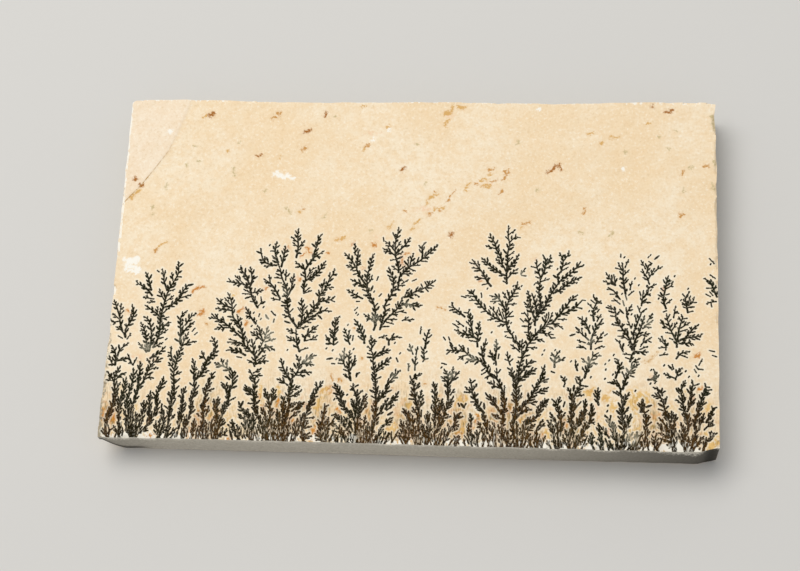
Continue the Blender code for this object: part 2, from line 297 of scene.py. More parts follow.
# The dendrites, bush by bush from left to right. Each limb is a run of places from its root
# to its tip, as x,y from the middle of the plate in tenths of a millimetre, and a slash ends it.
BUSHES = {
    "far left, low": """
    -472,-284 -474,-264 -468,-245 -467,-235 -471,-230 /
    -468,-243 -463,-226 -464,-211 -467,-200 -465,-186 -459,-172 /
    -467,-199 -472,-190 -480,-181 / -468,-196 -480,-195 /
    -464,-194 -457,-185 -449,-183 / -463,-212 -457,-199 /
    -468,-170 -468,-156 -471,-146 -477,-138 / -465,-155 -462,-145 -449,-134 /
    -468,-170 -473,-168 -479,-155 / -469,-170 -478,-170 /
    -466,-163 -455,-161 -449,-159 -444,-162 -440,-169 / -439,-170 -434,-158 /
    -444,-162 -449,-152 / -452,-283 -453,-265 -455,-241 -451,-219 -448,-190 /
    -452,-282 -461,-270 / -435,-282 -441,-257 -448,-243 /
    -432,-282 -437,-259 -444,-225 -441,-215 -437,-194 -438,-175 /
    -441,-213 -442,-201 /
    -430,-282 -435,-241 -431,-227 -429,-210 -420,-196 -413,-177 -406,-165
    -392,-158 /
    -424,-203 -428,-199 -427,-180 -428,-164 / -419,-194 -411,-189 -404,-191 /
    -414,-186 -406,-181 / -412,-178 -407,-175 -398,-174 / -410,-170 -417,-159 /
    -412,-158 -400,-150 -389,-138 / -425,-281 -426,-259 -428,-247 /
    -422,-281 -419,-259 -416,-247 -416,-228 / -416,-250 -411,-242 /
    -423,-282 -413,-276 -402,-257 -394,-237 -397,-219 -390,-203 -388,-188 /
    -395,-240 -390,-228 / -404,-260 -407,-240 -406,-221 -407,-212 /
    -389,-283 -396,-276 / -389,-282 -393,-267 -394,-261 / -388,-282 -388,-258 /
    -387,-282 -382,-265 -381,-257 -386,-247 -387,-233 /
    -376,-284 -374,-265 -374,-247 -371,-220 -369,-210 -371,-198 -372,-176
    -368,-156 -362,-136 / -372,-227 -378,-213 / -373,-236 -379,-224 /
    -374,-242 -383,-236 / -371,-236 -366,-226 / -372,-260 -365,-250 /
    -372,-186 -360,-180 / -370,-199 -362,-191 / -372,-176 -382,-165 /
    -369,-166 -375,-162 -379,-152 -380,-138 / -379,-150 -384,-148 /
    -372,-282 -360,-272 / -368,-287 -363,-278 / -357,-272 -354,-233 -356,-223
    -351,-204 / -348,-285 -346,-260 -340,-246 -341,-230 -336,-208 -339,-200
    -337,-192 -340,-180 -339,-162 / -340,-170 -344,-158 / -340,-202 -345,-198 /
    """,
    "far left, high": """
    -455,-124 -456,-111 -447,-94 -445,-86 -449,-69 / -445,-87 -441,-78 /
    -456,-123 -461,-114 -472,-107 / -461,-114 -467,-94 -467,-68 /
    -468,-88 -479,-62 / -468,-94 -479,-85 / -469,-98 -479,-99 -482,-94 /
    -466,-85 -462,-80 / -452,-127 -447,-118 / -460,-126 -467,-122 /
    -418,-146 -423,-118 -432,-99 / -415,-146 -413,-129 -414,-114 -419,-96
    -428,-89 / -419,-148 -433,-133 / -408,-140 -394,-132 /
    -409,-140 -404,-129 -401,-118 -401,-93 -397,-65 -392,-45 -381,-22 -378,-12
    -380,5 / -378,-4 -372,2 / -381,-21 -373,-21 / -386,-28 -389,-14 /
    -394,-44 -401,-27 -400,-11 / -402,-21 -405,-8 / -413,-11 -410,-13 /
    -398,-60 -404,-50 -407,-42 / -392,-46 -382,-42 / -395,-63 -383,-53 /
    -394,-72 -386,-69 -372,-56 -368,-45 -360,-34 -353,-33 /
    -370,-56 -355,-51 / -369,-45 -369,-39 / -398,-83 -387,-72 /
    -400,-93 -388,-89 / -401,-90 -413,-80 -428,-70 / -407,-86 -407,-72 /
    -413,-64 -425,-65 / -415,-59 -432,-57 / -418,-53 -430,-40 -442,-34
    -446,-29 / -420,-44 -427,-23 -432,-14 / -401,-112 -390,-100 -384,-98 /
    -401,-120 -388,-110 / -403,-126 -394,-123 / -390,-127 -388,-125 /
    -361,-136 -354,-132 -340,-129 / -363,-137 -367,-129 -366,-118 -369,-92
    -365,-83 -359,-78 / -362,-134 -354,-114 / -366,-120 -357,-106 -346,-96 /
    -360,-102 -352,-88 -344,-82 / -352,-88 -351,-82 / -348,-112 -344,-107 /
    -344,-118 -340,-114 /
    """,
    "left, low": """
    -337,-192 -327,-182 -322,-167 -320,-159 -309,-147 -310,-130 -316,-121 /
    -311,-128 -318,-128 / -321,-162 -327,-153 -330,-145 / -326,-181 -316,-177 /
    -334,-188 -332,-178 / -335,-283 -333,-256 /
    -318,-280 -319,-255 -321,-240 -318,-223 -319,-212 -314,-195 -310,-183
    -306,-179 / -321,-254 -330,-248 / -316,-251 -312,-235 / -318,-211 -306,-206 /
    -314,-277 -314,-261 / -310,-281 -309,-261 / -303,-285 -306,-267 -305,-256 /
    -300,-283 -298,-255 -301,-240 -298,-220 / -301,-245 -305,-238 /
    -297,-281 -292,-257 -288,-240 -281,-227 -284,-213 -277,-200 -278,-186
    -280,-176 -292,-170 -298,-157 / -285,-214 -290,-199 -295,-196 /
    -282,-191 -289,-186 / -277,-194 -270,-184 / -281,-226 -271,-220 /
    -292,-170 -308,-164 / -288,-172 -288,-159 / -294,-272 -286,-256 /
    -295,-284 -284,-280 -281,-271 / -262,-284 -272,-266 -273,-256 /
    -262,-284 -265,-264 / -244,-284 -258,-261 / -243,-284 -250,-260 -264,-247 /
    -242,-283 -241,-269 -247,-251 -258,-240 -265,-227 / -261,-234 -258,-226 /
    -247,-249 -250,-238 / -239,-281 -239,-252 -242,-245 /
    -218,-286 -231,-269 -233,-263 /
    -218,-285 -220,-271 -232,-252 -239,-234 -242,-216 -241,-198 -246,-184
    -252,-174 / -245,-183 -231,-183 / -245,-179 -233,-171 /
    -242,-217 -249,-211 -257,-199 / -240,-229 -250,-229 / -239,-231 -232,-224 /
    -216,-284 -219,-255 -229,-236 / -216,-265 -214,-250 -216,-229 -223,-213
    -225,-204 / -214,-230 -211,-216 -212,-203 / -207,-286 -212,-259 /
    -206,-286 -206,-255 / -201,-286 -199,-270 -203,-238 /
    -194,-284 -194,-255 -194,-225 -198,-216 / -189,-284 -183,-280 -181,-267 /
    -192,-282 -189,-250 -185,-227 -187,-216 -183,-198 -185,-189 -176,-178
    -173,-162 -179,-148 / -185,-191 -198,-170 -203,-154 /
    -189,-198 -199,-191 -207,-188 / -198,-170 -205,-169 /
    -173,-283 -166,-263 -162,-244 / -173,-282 -172,-263 -170,-252 /
    -159,-288 -162,-272 -157,-244 -150,-227 -145,-210 -134,-190 /
    -141,-204 -145,-192 / -148,-217 -141,-215 / -156,-246 -150,-241 /
    -156,-251 -144,-249 / -158,-265 -154,-255 / -158,-267 -148,-264 /
    -158,-285 -147,-279 / -157,-280 -150,-274 / -178,-179 -187,-170 /
    -177,-170 -182,-162 / -178,-181 -163,-182 / -176,-177 -153,-176 /
    -174,-168 -166,-161 -150,-164 / -166,-162 -158,-152 -147,-148 /
    -183,-206 -170,-199 / -185,-217 -172,-211 -167,-205 / -185,-236 -173,-226 /
    -180,-240 -167,-228 -161,-225 / -183,-253 -174,-243 -167,-240 /
    """,
    "left, high": """
    -244,-168 -249,-160 -256,-158 / -242,-165 -231,-158 -223,-159 /
    -240,-158 -228,-149 / -242,-164 -246,-145 -252,-123 /
    -246,-149 -263,-133 -272,-130 -283,-132 / -257,-135 -260,-121 /
    -263,-132 -267,-116 -274,-98 -284,-87 -287,-70 -290,-57 -296,-46 /
    -260,-150 -277,-142 -291,-143 / -273,-153 -266,-154 /
    -239,-149 -228,-134 -221,-136 -214,-141 / -239,-142 -233,-126 /
    -270,-129 -290,-129 / -276,-127 -288,-124 /
    -266,-123 -280,-111 -300,-95 -311,-90 -319,-82 / -311,-90 -323,-89 /
    -298,-96 -301,-87 / -290,-105 -305,-105 -312,-108 / -279,-111 -284,-103 /
    -284,-87 -293,-86 / -290,-66 -300,-55 / -287,-72 -300,-67 -313,-56 /
    -288,-76 -306,-74 -313,-73 / -285,-73 -281,-66 / -274,-99 -278,-83 /
    -269,-114 -267,-105 / -266,-119 -263,-111 / -247,-97 -256,-86 -265,-70 /
    -254,-87 -258,-89 / -252,-80 / -248,-96 -246,-92 / -254,-102 /
    -233,-126 -246,-116 -254,-111 / -234,-125 -241,-109 -249,-106 /
    -236,-114 -244,-100 / -232,-125 -227,-116 -218,-111 / -231,-120 -227,-102 /
    -230,-127 -214,-122 / -243,-85 -242,-81 /
    -240,-90 / -232,-82 -230,-86 -227,-89 / -223,-76 -219,-81 -216,-83 / -219,-94 -218,-89 /
    -246,-70 -256,-53 -261,-38 -273,-31 -298,-27 / -291,-28 -296,-22 /
    -271,-31 -286,-17 / -263,-31 -267,-18 -278,-6 -278,0 /
    -270,-14 -270,-4 / -261,-36 -258,-24 -262,-2 / -258,-23 -250,-18 /
    -258,-46 -239,-41 / -253,-44 -252,-38 / -257,-48 -272,-47 /
    -260,-45 -270,-40 / -258,-52 -267,-55 / -251,-61 -258,-60 /
    -246,-69 -240,-60 -242,-52 / -237,-70 /
    -182,-100 -193,-85 -199,-61 -201,-39 -210,-19 -214,-4 -222,13 -228,18 /
    -212,0 -208,28 -208,35 / -212,9 -215,19 / -218,7 -224,25 -222,42 /
    -225,26 -231,26 / -220,2 -231,3 -242,10 -248,30 / -245,21 -254,25 /
    -234,7 -237,15 / -226,1 -240,0 / -234,35 / -210,-20 -222,-19 /
    -211,-16 -220,-12 / -210,-28 -216,-27 / -204,-23 -204,-6 /
    -199,-49 -194,-38 -191,-12 / -193,-39 -189,-30 / -199,-48 -207,-38 /
    -211,-57 -225,-54 / -211,-54 -220,-39 -228,-29 -239,-22 /
    -216,-46 -214,-40 / -217,-50 -224,-45 / -228,-29 -231,-15 /
    -199,-66 -208,-66 / -199,-63 -208,-59 / -194,-85 -205,-81 /
    -192,-95 -201,-92 / -193,-76 -189,-71 / -179,-114 -197,-105 /
    -179,-128 -196,-117 / -194,-141 /
    -174,-142 -179,-129 -182,-106 / -172,-140 -161,-136 /
    -181,-103 -175,-95 -173,-74 -176,-61 -176,-53 / -174,-79 -181,-69 /
    -173,-74 -166,-66 / -176,-100 -168,-89 -163,-79 -150,-66 -148,-50
    -139,-36 -133,-20 -127,-10 -126,-3 / -156,-70 -162,-63 /
    -155,-69 -157,-57 / -148,-50 -154,-44 / -145,-41 -142,-27 -141,-20 /
    -144,-36 -149,-30 / -138,-35 -126,-34 / -147,-48 -139,-47 /
    -149,-59 -130,-55 -123,-58 / -129,-55 -123,-49 / -133,-20 -133,-9 /
    -170,-94 -159,-87 -144,-74 -127,-74 / -140,-74 -134,-69 /
    -149,-80 -142,-87 / -179,-104 -163,-100 / -186,-95 -188,-86 /
    -173,-44 -174,-34 -172,-21 -173,-10 -175,-2 -184,3 -190,9 /
    -174,-38 -178,-33 / -172,-42 -164,-35 / -172,-44 -161,-40 /
    -171,-23 -155,-12 -149,-4 -141,10 / -169,-17 -164,-6 -156,-1 /
    -172,-18 -180,-12 / -173,-4 -168,5 -161,15 -160,26 -156,37 -155,47
    -149,56 / -170,3 -173,12 / -161,15 -145,27 / -166,12 -157,11 /
    -158,33 -165,39 / -189,16 -187,33 -189,54 -188,65 / -189,42 -199,51 /
    -187,33 -196,41 / -187,32 -177,45 / -189,49 -184,54 / -189,55 -193,61 /
    -167,-124 -166,-116 -153,-103 -147,-98 / -165,-124 -156,-121 -147,-115 /
    -158,-122 -148,-122 /
    """,
    "between the two left bushes": """
    -131,-286 -138,-270 / -130,-286 -133,-262 -138,-253 / -131,-270 -122,-249 /
    -132,-260 -129,-242 -129,-227 / -129,-232 -123,-229 /
    -124,-287 -123,-266 -116,-257 -108,-263 / -116,-285 /
    -91,-287 -104,-272 -110,-271 / -94,-282 -104,-266 -116,-261 /
    -81,-284 -94,-262 -112,-244 -117,-246 / -82,-270 -98,-247 /
    -85,-265 -87,-254 / -77,-284 -79,-259 -81,-249 -95,-236 -102,-224
    -108,-205 -116,-193 / -107,-212 -116,-209 / -98,-231 -97,-221 /
    -80,-247 -81,-233 -87,-218 / -80,-240 -79,-216 -86,-199 -86,-193 /
    -83,-198 -78,-195 / -79,-213 -71,-204 / -76,-265 -74,-238 -68,-215
    -64,-210 / -72,-240 -62,-224 / -66,-265 -64,-245 /
    -90,-188 -95,-182 -102,-178 / -91,-185 -94,-173 -94,-162 -95,-153
    -94,-139 / -92,-171 -88,-161 -85,-147 / -95,-173 -102,-170 /
    -100,-166 -106,-153 -110,-145 / -103,-159 -103,-135 / -103,-161 -111,-160 /
    -122,-161 -117,-161 / -130,-154 -121,-152 / -82,-182 -81,-177 -77,-175 /
    -95,-212 / -115,-220 / -122,-140 / -132,-137 / -89,-137 / -115,-154 /
    -120,-130 -128,-125 -134,-114 / -121,-129 -121,-117 -123,-109 -128,-103 /
    -120,-116 -120,-106 -119,-89 -113,-82 / -120,-90 -121,-85 /
    -119,-111 -115,-105 / -118,-129 -114,-125 / -95,-128 -98,-119 -96,-105 /
    -99,-118 -105,-114 / -99,-115 -105,-102 / -91,-122 -90,-114 / -100,-97 /
    -72,-126 -72,-120 -79,-105 -86,-91 -90,-87 / -74,-121 -82,-115 /
    """,
    "middle, low": """
    -56,-281 -49,-252 -49,-216 -52,-182 -56,-161 -58,-142 -66,-131 /
    -51,-207 -59,-203 / -50,-216 -56,-213 / -49,-244 -55,-229 /
    -49,-230 -43,-204 / -46,-221 -38,-210 -33,-202 -33,-194 -26,-186 -20,-175
    -20,-168 / -23,-183 -17,-182 / -21,-180 -13,-170 / -28,-182 -25,-174 /
    -51,-170 -42,-161 -33,-155 -29,-149 / -51,-173 -39,-165 /
    -52,-186 -43,-181 / -56,-152 -46,-141 -30,-137 / -43,-140 -39,-131 /
    -57,-150 -66,-149 / -58,-145 -66,-143 / -48,-246 -39,-236 -37,-225 /
    -48,-283 -43,-279 -38,-271 -35,-266 / -43,-280 -31,-280 /
    -60,-136 -60,-123 -62,-114 / -59,-133 -55,-126 / -20,-150 -17,-156 /
    -15,-143 / -38,-233 -34,-223 -29,-216 / -33,-233 -28,-223 -21,-218
    -14,-205 / -31,-235 -21,-226 / -29,-243 -22,-238 /
    -40,-264 -33,-259 -28,-251 -21,-247 / -38,-261 -29,-256 -22,-251 /
    -30,-284 -25,-272 / 0,-286 -6,-277 -10,-271 / 0,-285 -3,-270 -9,-250 /
    3,-284 5,-271 0,-252 / 14,-281 9,-271 5,-249 2,-242 -6,-232 /
    18,-280 13,-268 9,-243 / 17,-250 18,-243 9,-230 /
    23,-287 21,-272 19,-259 20,-243 16,-225 12,-217 11,-202 9,-194 3,-179 /
    6,-186 13,-178 21,-175 / 11,-203 16,-194 18,-190 / 11,-217 3,-216 /
    12,-212 4,-209 / 19,-234 21,-224 25,-215 / 17,-226 19,-218 22,-202 /
    19,-216 17,-211 / 23,-244 23,-234 / 10,-169 10,-156 11,-147 /
    9,-159 5,-151 / 10,-162 14,-157 / 0,-170 0,-159 /
    6,-143 3,-136 0,-127 / 11,-144 12,-136 13,-131 / 25,-151 30,-150 /
    25,-152 19,-145 / 24,-150 23,-142 23,-134 25,-127 / 24,-142 28,-138 /
    22,-155 / 31,-287 28,-272 23,-251 / 33,-284 34,-270 33,-236 /
    35,-283 37,-267 38,-253 / 36,-283 46,-269 56,-251 61,-233 69,-218
    72,-210 / 54,-258 50,-247 53,-227 55,-215 /
    46,-261 44,-250 45,-230 43,-211 43,-202 40,-188 / 43,-237 38,-230 39,-225 /
    43,-205 45,-199 / 44,-217 39,-211 / 60,-246 69,-243 / 64,-231 69,-227 /
    64,-216 63,-202 63,-193 61,-186 52,-179 / 63,-193 73,-179 80,-170 /
    63,-188 62,-176 56,-167 / 69,-183 69,-173 70,-163 / 52,-157 59,-159 /
    51,-165 / 67,-208 73,-199 / 80,-222 82,-226 / 84,-222 90,-229 /
    92,-222 89,-228 / 60,-284 69,-266 75,-259 79,-240 85,-237 /
    79,-246 88,-243 / 68,-267 65,-255 / 73,-266 80,-263 / 60,-276 61,-262 /
    48,-288 46,-280 / 50,-281 53,-271 / 71,-284 75,-279 / 80,-285 84,-275 /
    """,
    "middle, high": """
    -58,-104 -56,-98 -58,-90 -65,-85 -75,-78 /
    -55,-96 -57,-83 -57,-72 -63,-54 -69,-46 -72,-38 -72,-27 -73,-15 -69,2
    -66,19 -63,23 / -72,-34 -85,-27 -99,-20 /
    -74,-29 -81,-20 -90,-4 -90,7 -89,16 -96,25 / -88,-10 -95,-12 /
    -90,-5 -96,-6 / -90,0 -99,0 -107,3 / -93,2 -99,11 -111,24 /
    -72,-28 -66,-20 -65,-13 / -71,-9 -77,-5 / -72,-40 -79,-37 /
    -66,-39 -63,-31 / -57,-21 -55,-15 / -61,-41 / -59,-66 -54,-60 /
    -79,-52 -94,-44 -104,-38 / -89,-46 -87,-43 / -88,-57 -83,-57 /
    -87,-69 / -90,-72 / -88,-77 / -85,-80 / -94,21 -95,40 / -90,19 -88,30 /
    -48,-103 -44,-85 -41,-72 -43,-66 -39,-56 -32,-43 -30,-30 -31,-18
    -35,-10 -39,1 / -46,-97 -39,-88 -34,-79 / -46,-99 -34,-98 /
    -42,-70 -45,-64 / -40,-64 -35,-61 / -52,-48 -49,-44 / -49,-117 -37,-113 /
    -33,-128 -33,-121 -25,-116 -13,-116 / -24,-126 /
    -29,-38 -23,-35 -22,-23 -21,-15 -14,-7 -5,2 10,12 21,22 33,34
    38,40 / -5,2 -4,13 0,25 / -8,0 -8,18 / 14,16 14,27 13,37
    19,44 / 12,12 22,11 / 0,4 11,5 / -6,-1 4,-5 / -15,-10 -1,-10 /
    -22,-30 -12,-29 / -17,-27 -7,-20 / 0,-22 6,-19 /
    -42,-90 -33,-80 -22,-68 -16,-54 -14,-48 / -11,-48 -9,-41 -4,-35 /
    -12,-49 -3,-47 3,-41 22,-32 37,-20 / 17,-34 14,-27 / 23,-29 20,-23 /
    28,-28 34,-30 / 21,-34 26,-39 / -2,-47 5,-44 12,-48 /
    -23,-68 -25,-61 / -20,-65 -9,-60 8,-64 17,-62 / -25,-75 -12,-71 /
    -16,-73 -8,-75 / -36,-86 -22,-86 / -13,-88 -4,-82 / -9,-87 5,-86 /
    -38,-91 -27,-94 / -42,-98 -35,-98 / -23,-7 -24,5 -29,20 -30,45 -26,62
    -26,69 / -29,20 -35,25 -50,33 / -27,14 -37,13 / -28,21 -17,27 /
    -26,15 -18,19 / -23,-5 -34,3 / -23,-5 -13,3 / -29,32 -22,45 /
    -28,25 -18,35 -12,42 -7,52 / -32,30 -40,40 -49,46 / -30,49 -35,60 /
    -27,58 -22,65 / -50,51 -49,45 / 25,-133 25,-125 28,-108 31,-102 /
    29,-116 34,-111 / 25,-122 21,-117 / 16,-109 17,-98 /
    """,
    "right of the middle, low": """
    109,-285 102,-275 98,-263 97,-254 / 101,-259 101,-244 99,-238 /
    120,-236 112,-226 104,-211 101,-204 101,-198 97,-182 / 99,-203 90,-195 /
    97,-204 89,-203 / 102,-200 108,-190 / 100,-188 105,-184 /
    107,-219 100,-219 / 105,-212 110,-206 / 113,-226 116,-219 /
    127,-269 124,-255 119,-236 115,-229 / 121,-230 120,-221 /
    121,-272 117,-261 112,-251 / 137,-277 133,-264 129,-255 /
    143,-271 138,-259 133,-251 / 146,-268 143,-255 / 132,-288 127,-277 /
    137,-286 135,-276 / 149,-285 142,-276 /
    150,-286 149,-271 150,-241 152,-227 150,-207 144,-190 134,-175 127,-175
    121,-160 112,-153 99,-148 93,-143 82,-132 78,-127 / 151,-206 151,-192 /
    144,-196 136,-193 130,-187 125,-187 / 139,-182 139,-175 138,-164 /
    140,-172 144,-166 / 137,-158 135,-148 128,-141 127,-135 /
    135,-148 137,-132 136,-117 / 140,-148 141,-141 / 133,-157 /
    142,-229 132,-215 125,-209 122,-204 / 147,-238 142,-227 / 149,-246 133,-238 /
    151,-219 146,-212 / 152,-235 157,-232 / 152,-226 154,-221 /
    87,-137 71,-136 59,-136 / 69,-135 64,-127 / 64,-137 59,-142 /
    92,-143 84,-145 77,-151 / 100,-149 93,-153 89,-157 / 93,-140 92,-132 /
    110,-152 104,-158 / 120,-156 116,-147 115,-137 118,-129 120,-116 /
    120,-164 115,-168 / 121,-171 115,-174 / 164,-283 169,-276 166,-263 169,-238
    170,-218 169,-193 166,-178 159,-165 155,-163 / 163,-173 166,-168 /
    169,-219 163,-215 / 170,-219 176,-210 178,-203 / 170,-195 177,-191 /
    169,-193 172,-182 173,-162 177,-147 176,-130 176,-124 177,-116 /
    172,-185 180,-176 200,-163 / 174,-173 188,-154 194,-151 199,-152 /
    174,-183 183,-181 / 176,-146 171,-145 / 177,-148 183,-142 189,-141 /
    159,-158 155,-147 154,-137 / 158,-153 163,-148 / 156,-151 151,-149 /
    170,-244 180,-233 194,-229 / 170,-234 178,-227 185,-220 194,-207 198,-195
    206,-185 210,-175 210,-166 213,-157 / 206,-185 213,-181 219,-179 /
    205,-187 203,-181 / 198,-196 194,-190 / 199,-203 206,-200 219,-193 /
    189,-212 188,-203 / 186,-219 196,-218 202,-216 /
    176,-269 187,-251 201,-242 206,-230 214,-217 214,-211 / 213,-217 220,-212 /
    183,-262 192,-258 200,-253 / 203,-259 208,-251 212,-245 /
    205,-261 212,-254 215,-250 / 201,-287 200,-276 204,-269 202,-262 /
    208,-285 204,-281 / 195,-286 193,-280 / 173,-272 183,-263 /
    178,-284 177,-277 / 184,-284 186,-272 / 231,-284 229,-271 223,-252 218,-246 /
    222,-284 219,-278 / 236,-277 235,-263 234,-252 228,-245 223,-233 /
    238,-270 240,-250 237,-238 234,-223 229,-215 225,-212 /
    234,-222 236,-213 238,-209 / 233,-225 227,-221 / 240,-243 246,-233 /
    243,-223 245,-216 / 253,-286 252,-276 257,-261 255,-238 256,-209 249,-193 /
    257,-230 262,-223 268,-218 / 257,-208 267,-195 268.5,-182 266,-176 262,-175 /
    258,-198 259,-189 / 250,-272 246,-260 / 243,-191 245,-186 243,-179
    238,-174 / 244,-183 247,-179 / 228,-160 228,-151 229,-143 236,-133 /
    227,-152 221,-145 / 229,-153 237,-149 244,-144 / 228,-133 /
    223,-167 228,-169 / 208,-141 / 211,-134 / 263,-164 261,-156 260,-148 /
    253,-151 / 261,-178 264,-185 /
    """,
    "right of the middle, high": """
    173,-136 168,-131 159,-125 / 173,-132 169,-121 163,-116 161,-109 155,-103
    151,-88 150,-69 154,-49 154,-38 / 160,-108 163,-104 / 160,-114 153,-113 /
    151,-92 145,-92 138,-95 / 153,-104 149,-104 / 150,-112 /
    150,-89 143,-86 127,-77 112,-63 101,-49 97,-41 88,-36 /
    140,-84 132,-71 124,-62 / 135,-82 122,-85 / 141,-87 134,-87 /
    128,-78 121,-74 / 145,-83 141,-72 138,-64 / 148,-82 144,-71 /
    149,-68 145,-60 137,-48 124,-44 / 137,-48 132,-41 / 139,-53 125,-54 /
    150,-63 149,-54 / 152,-80 160,-70 / 155,-79 162,-78 / 152,-50 144,-38 /
    154,-50 159,-43 166,-28 167,-20 / 160,-45 168,-44 / 162,-40 168,-39 /
    153,-58 166,-57 / 153,-43 151,-35 / 160,-28 / 128,-106 /
    107,-129 106,-117 109,-106 107,-97 109,-88 / 106,-117 97,-111 85,-108
    75,-107 / 100,-114 88,-114 / 105,-121 94,-119 / 85,-108 70,-102 /
    100,-113 97,-100 95,-88 94,-81 90,-74 93,-68 / 91,-74 84,-73 /
    96,-97 88,-88 / 97,-95 98,-87 / 89,-104 88,-97 / 84,-96 72,-87 /
    76,-98 67,-92 / 85,-80 73,-70 67,-65 64,-57 / 70,-68 61,-70 /
    67,-65 60,-64 / 75,-72 76,-66 / 53,-114 56,-119 / 61,-114 63,-119 /
    63,-122 68,-129 / 97,-40 99,-35 / 102,-52 92,-53 / 99,-46 86,-45 /
    86,-48 79,-46 / 118,-66 115,-58 / 111,-47 110,-40 / 119,-70 111,-72 /
    125,-28 120,-22 113,-9 101,7 94,16 / 107,-2 98,-3 / 105,1 94,2 /
    100,8 90,11 / 106,2 103,13 / 116,-16 99,-13 / 119,-24 111,-26 /
    119,-33 / 150,-23 149,-7 150,13 150,29 153,43 150,55 150,75 /
    152,46 162,56 169,55 / 150,59 161,68 / 151,60 148,65 / 151,51 146,56 /
    149,26 143,34 / 152,24 160,31 / 150,-3 156,8 162,15 168,27 /
    149,-10 141,-7 127,3 120,8 115,14 109,19 / 127,2 120,2 /
    148,-2 143,7 137,13 132,18 / 142,11 139,22 132,34 129,45 122,55
    121,61 / 131,35 115,40 / 150,12 158,21 / 151,-14 161,-2 167,2 /
    149,-22 144,-19 / 172,-6 173,-1 / 172,-7 179,3 / 173,-9 180,-10 /
    177,-144 183,-133 185,-125 190,-119 186,-104 186,-83 179,-71 /
    180,-73 175,-73 / 178,-87 173,-82 / 185,-94 176,-94 / 186,-104 180,-104 /
    192,-117 204,-115 211,-119 / 185,-129 200,-129 / 189,-122 197,-121 /
    191,-117 198,-106 211,-92 212,-86 214,-72 / 212,-90 217,-79 217,-70 /
    197,-105 197,-98 / 201,-104 210,-105 225,-107 / 218,-107 222,-113 228,-112 /
    212,-93 221,-95 225,-98 / 215,-91 219,-83 223,-70 / 216,-90 228,-89
    240,-97 / 223,-88 235,-72 244,-60 254,-46 262,-40 / 232,-81 245,-81 /
    238,-72 246,-69 259,-60 270,-48 / 239,-73 246,-74 / 259,-60 269,-63 /
    248,-54 251,-44 / 196,-92 197,-79 209,-64 220,-40 236,-15 249,-6 261,8
    266,16 / 258,4 270,9 / 224,-38 238,-29 251,-18 268,-10 / 249,-21 261,-19 /
    229,-27 223,-20 / 221,-37 217,-36 / 195,-80 188,-64 178,-54 /
    188,-61 187,-49 183,-35 / 198,-73 197,-61 190,-39 / 200,-72 205,-61
    201,-36 203,-15 200,-4 197,5 196,17.5 / 201,-35 208,-28 / 199,-38 197,-35 /
    198,6 203,12 / 196,4 188,6 / 200,-13 196,-11 /
    203,-14 210,3 210,19 206,26 / 210,3 221,8 / 210,8 217,15 218,26 /
    204,-19 217,-14 / 232,-22 230,-7 235,-2 238,12 238,19 232,30 /
    239,17 247,29 247,34 / 238,8 249,14 / 236,0 246,6 / 229,2 /
    173,-28 / 193,-25 / 158,-90 / 260,-94 266,-98 / 251,-108 259,-105 / 245,-14 /
    """,
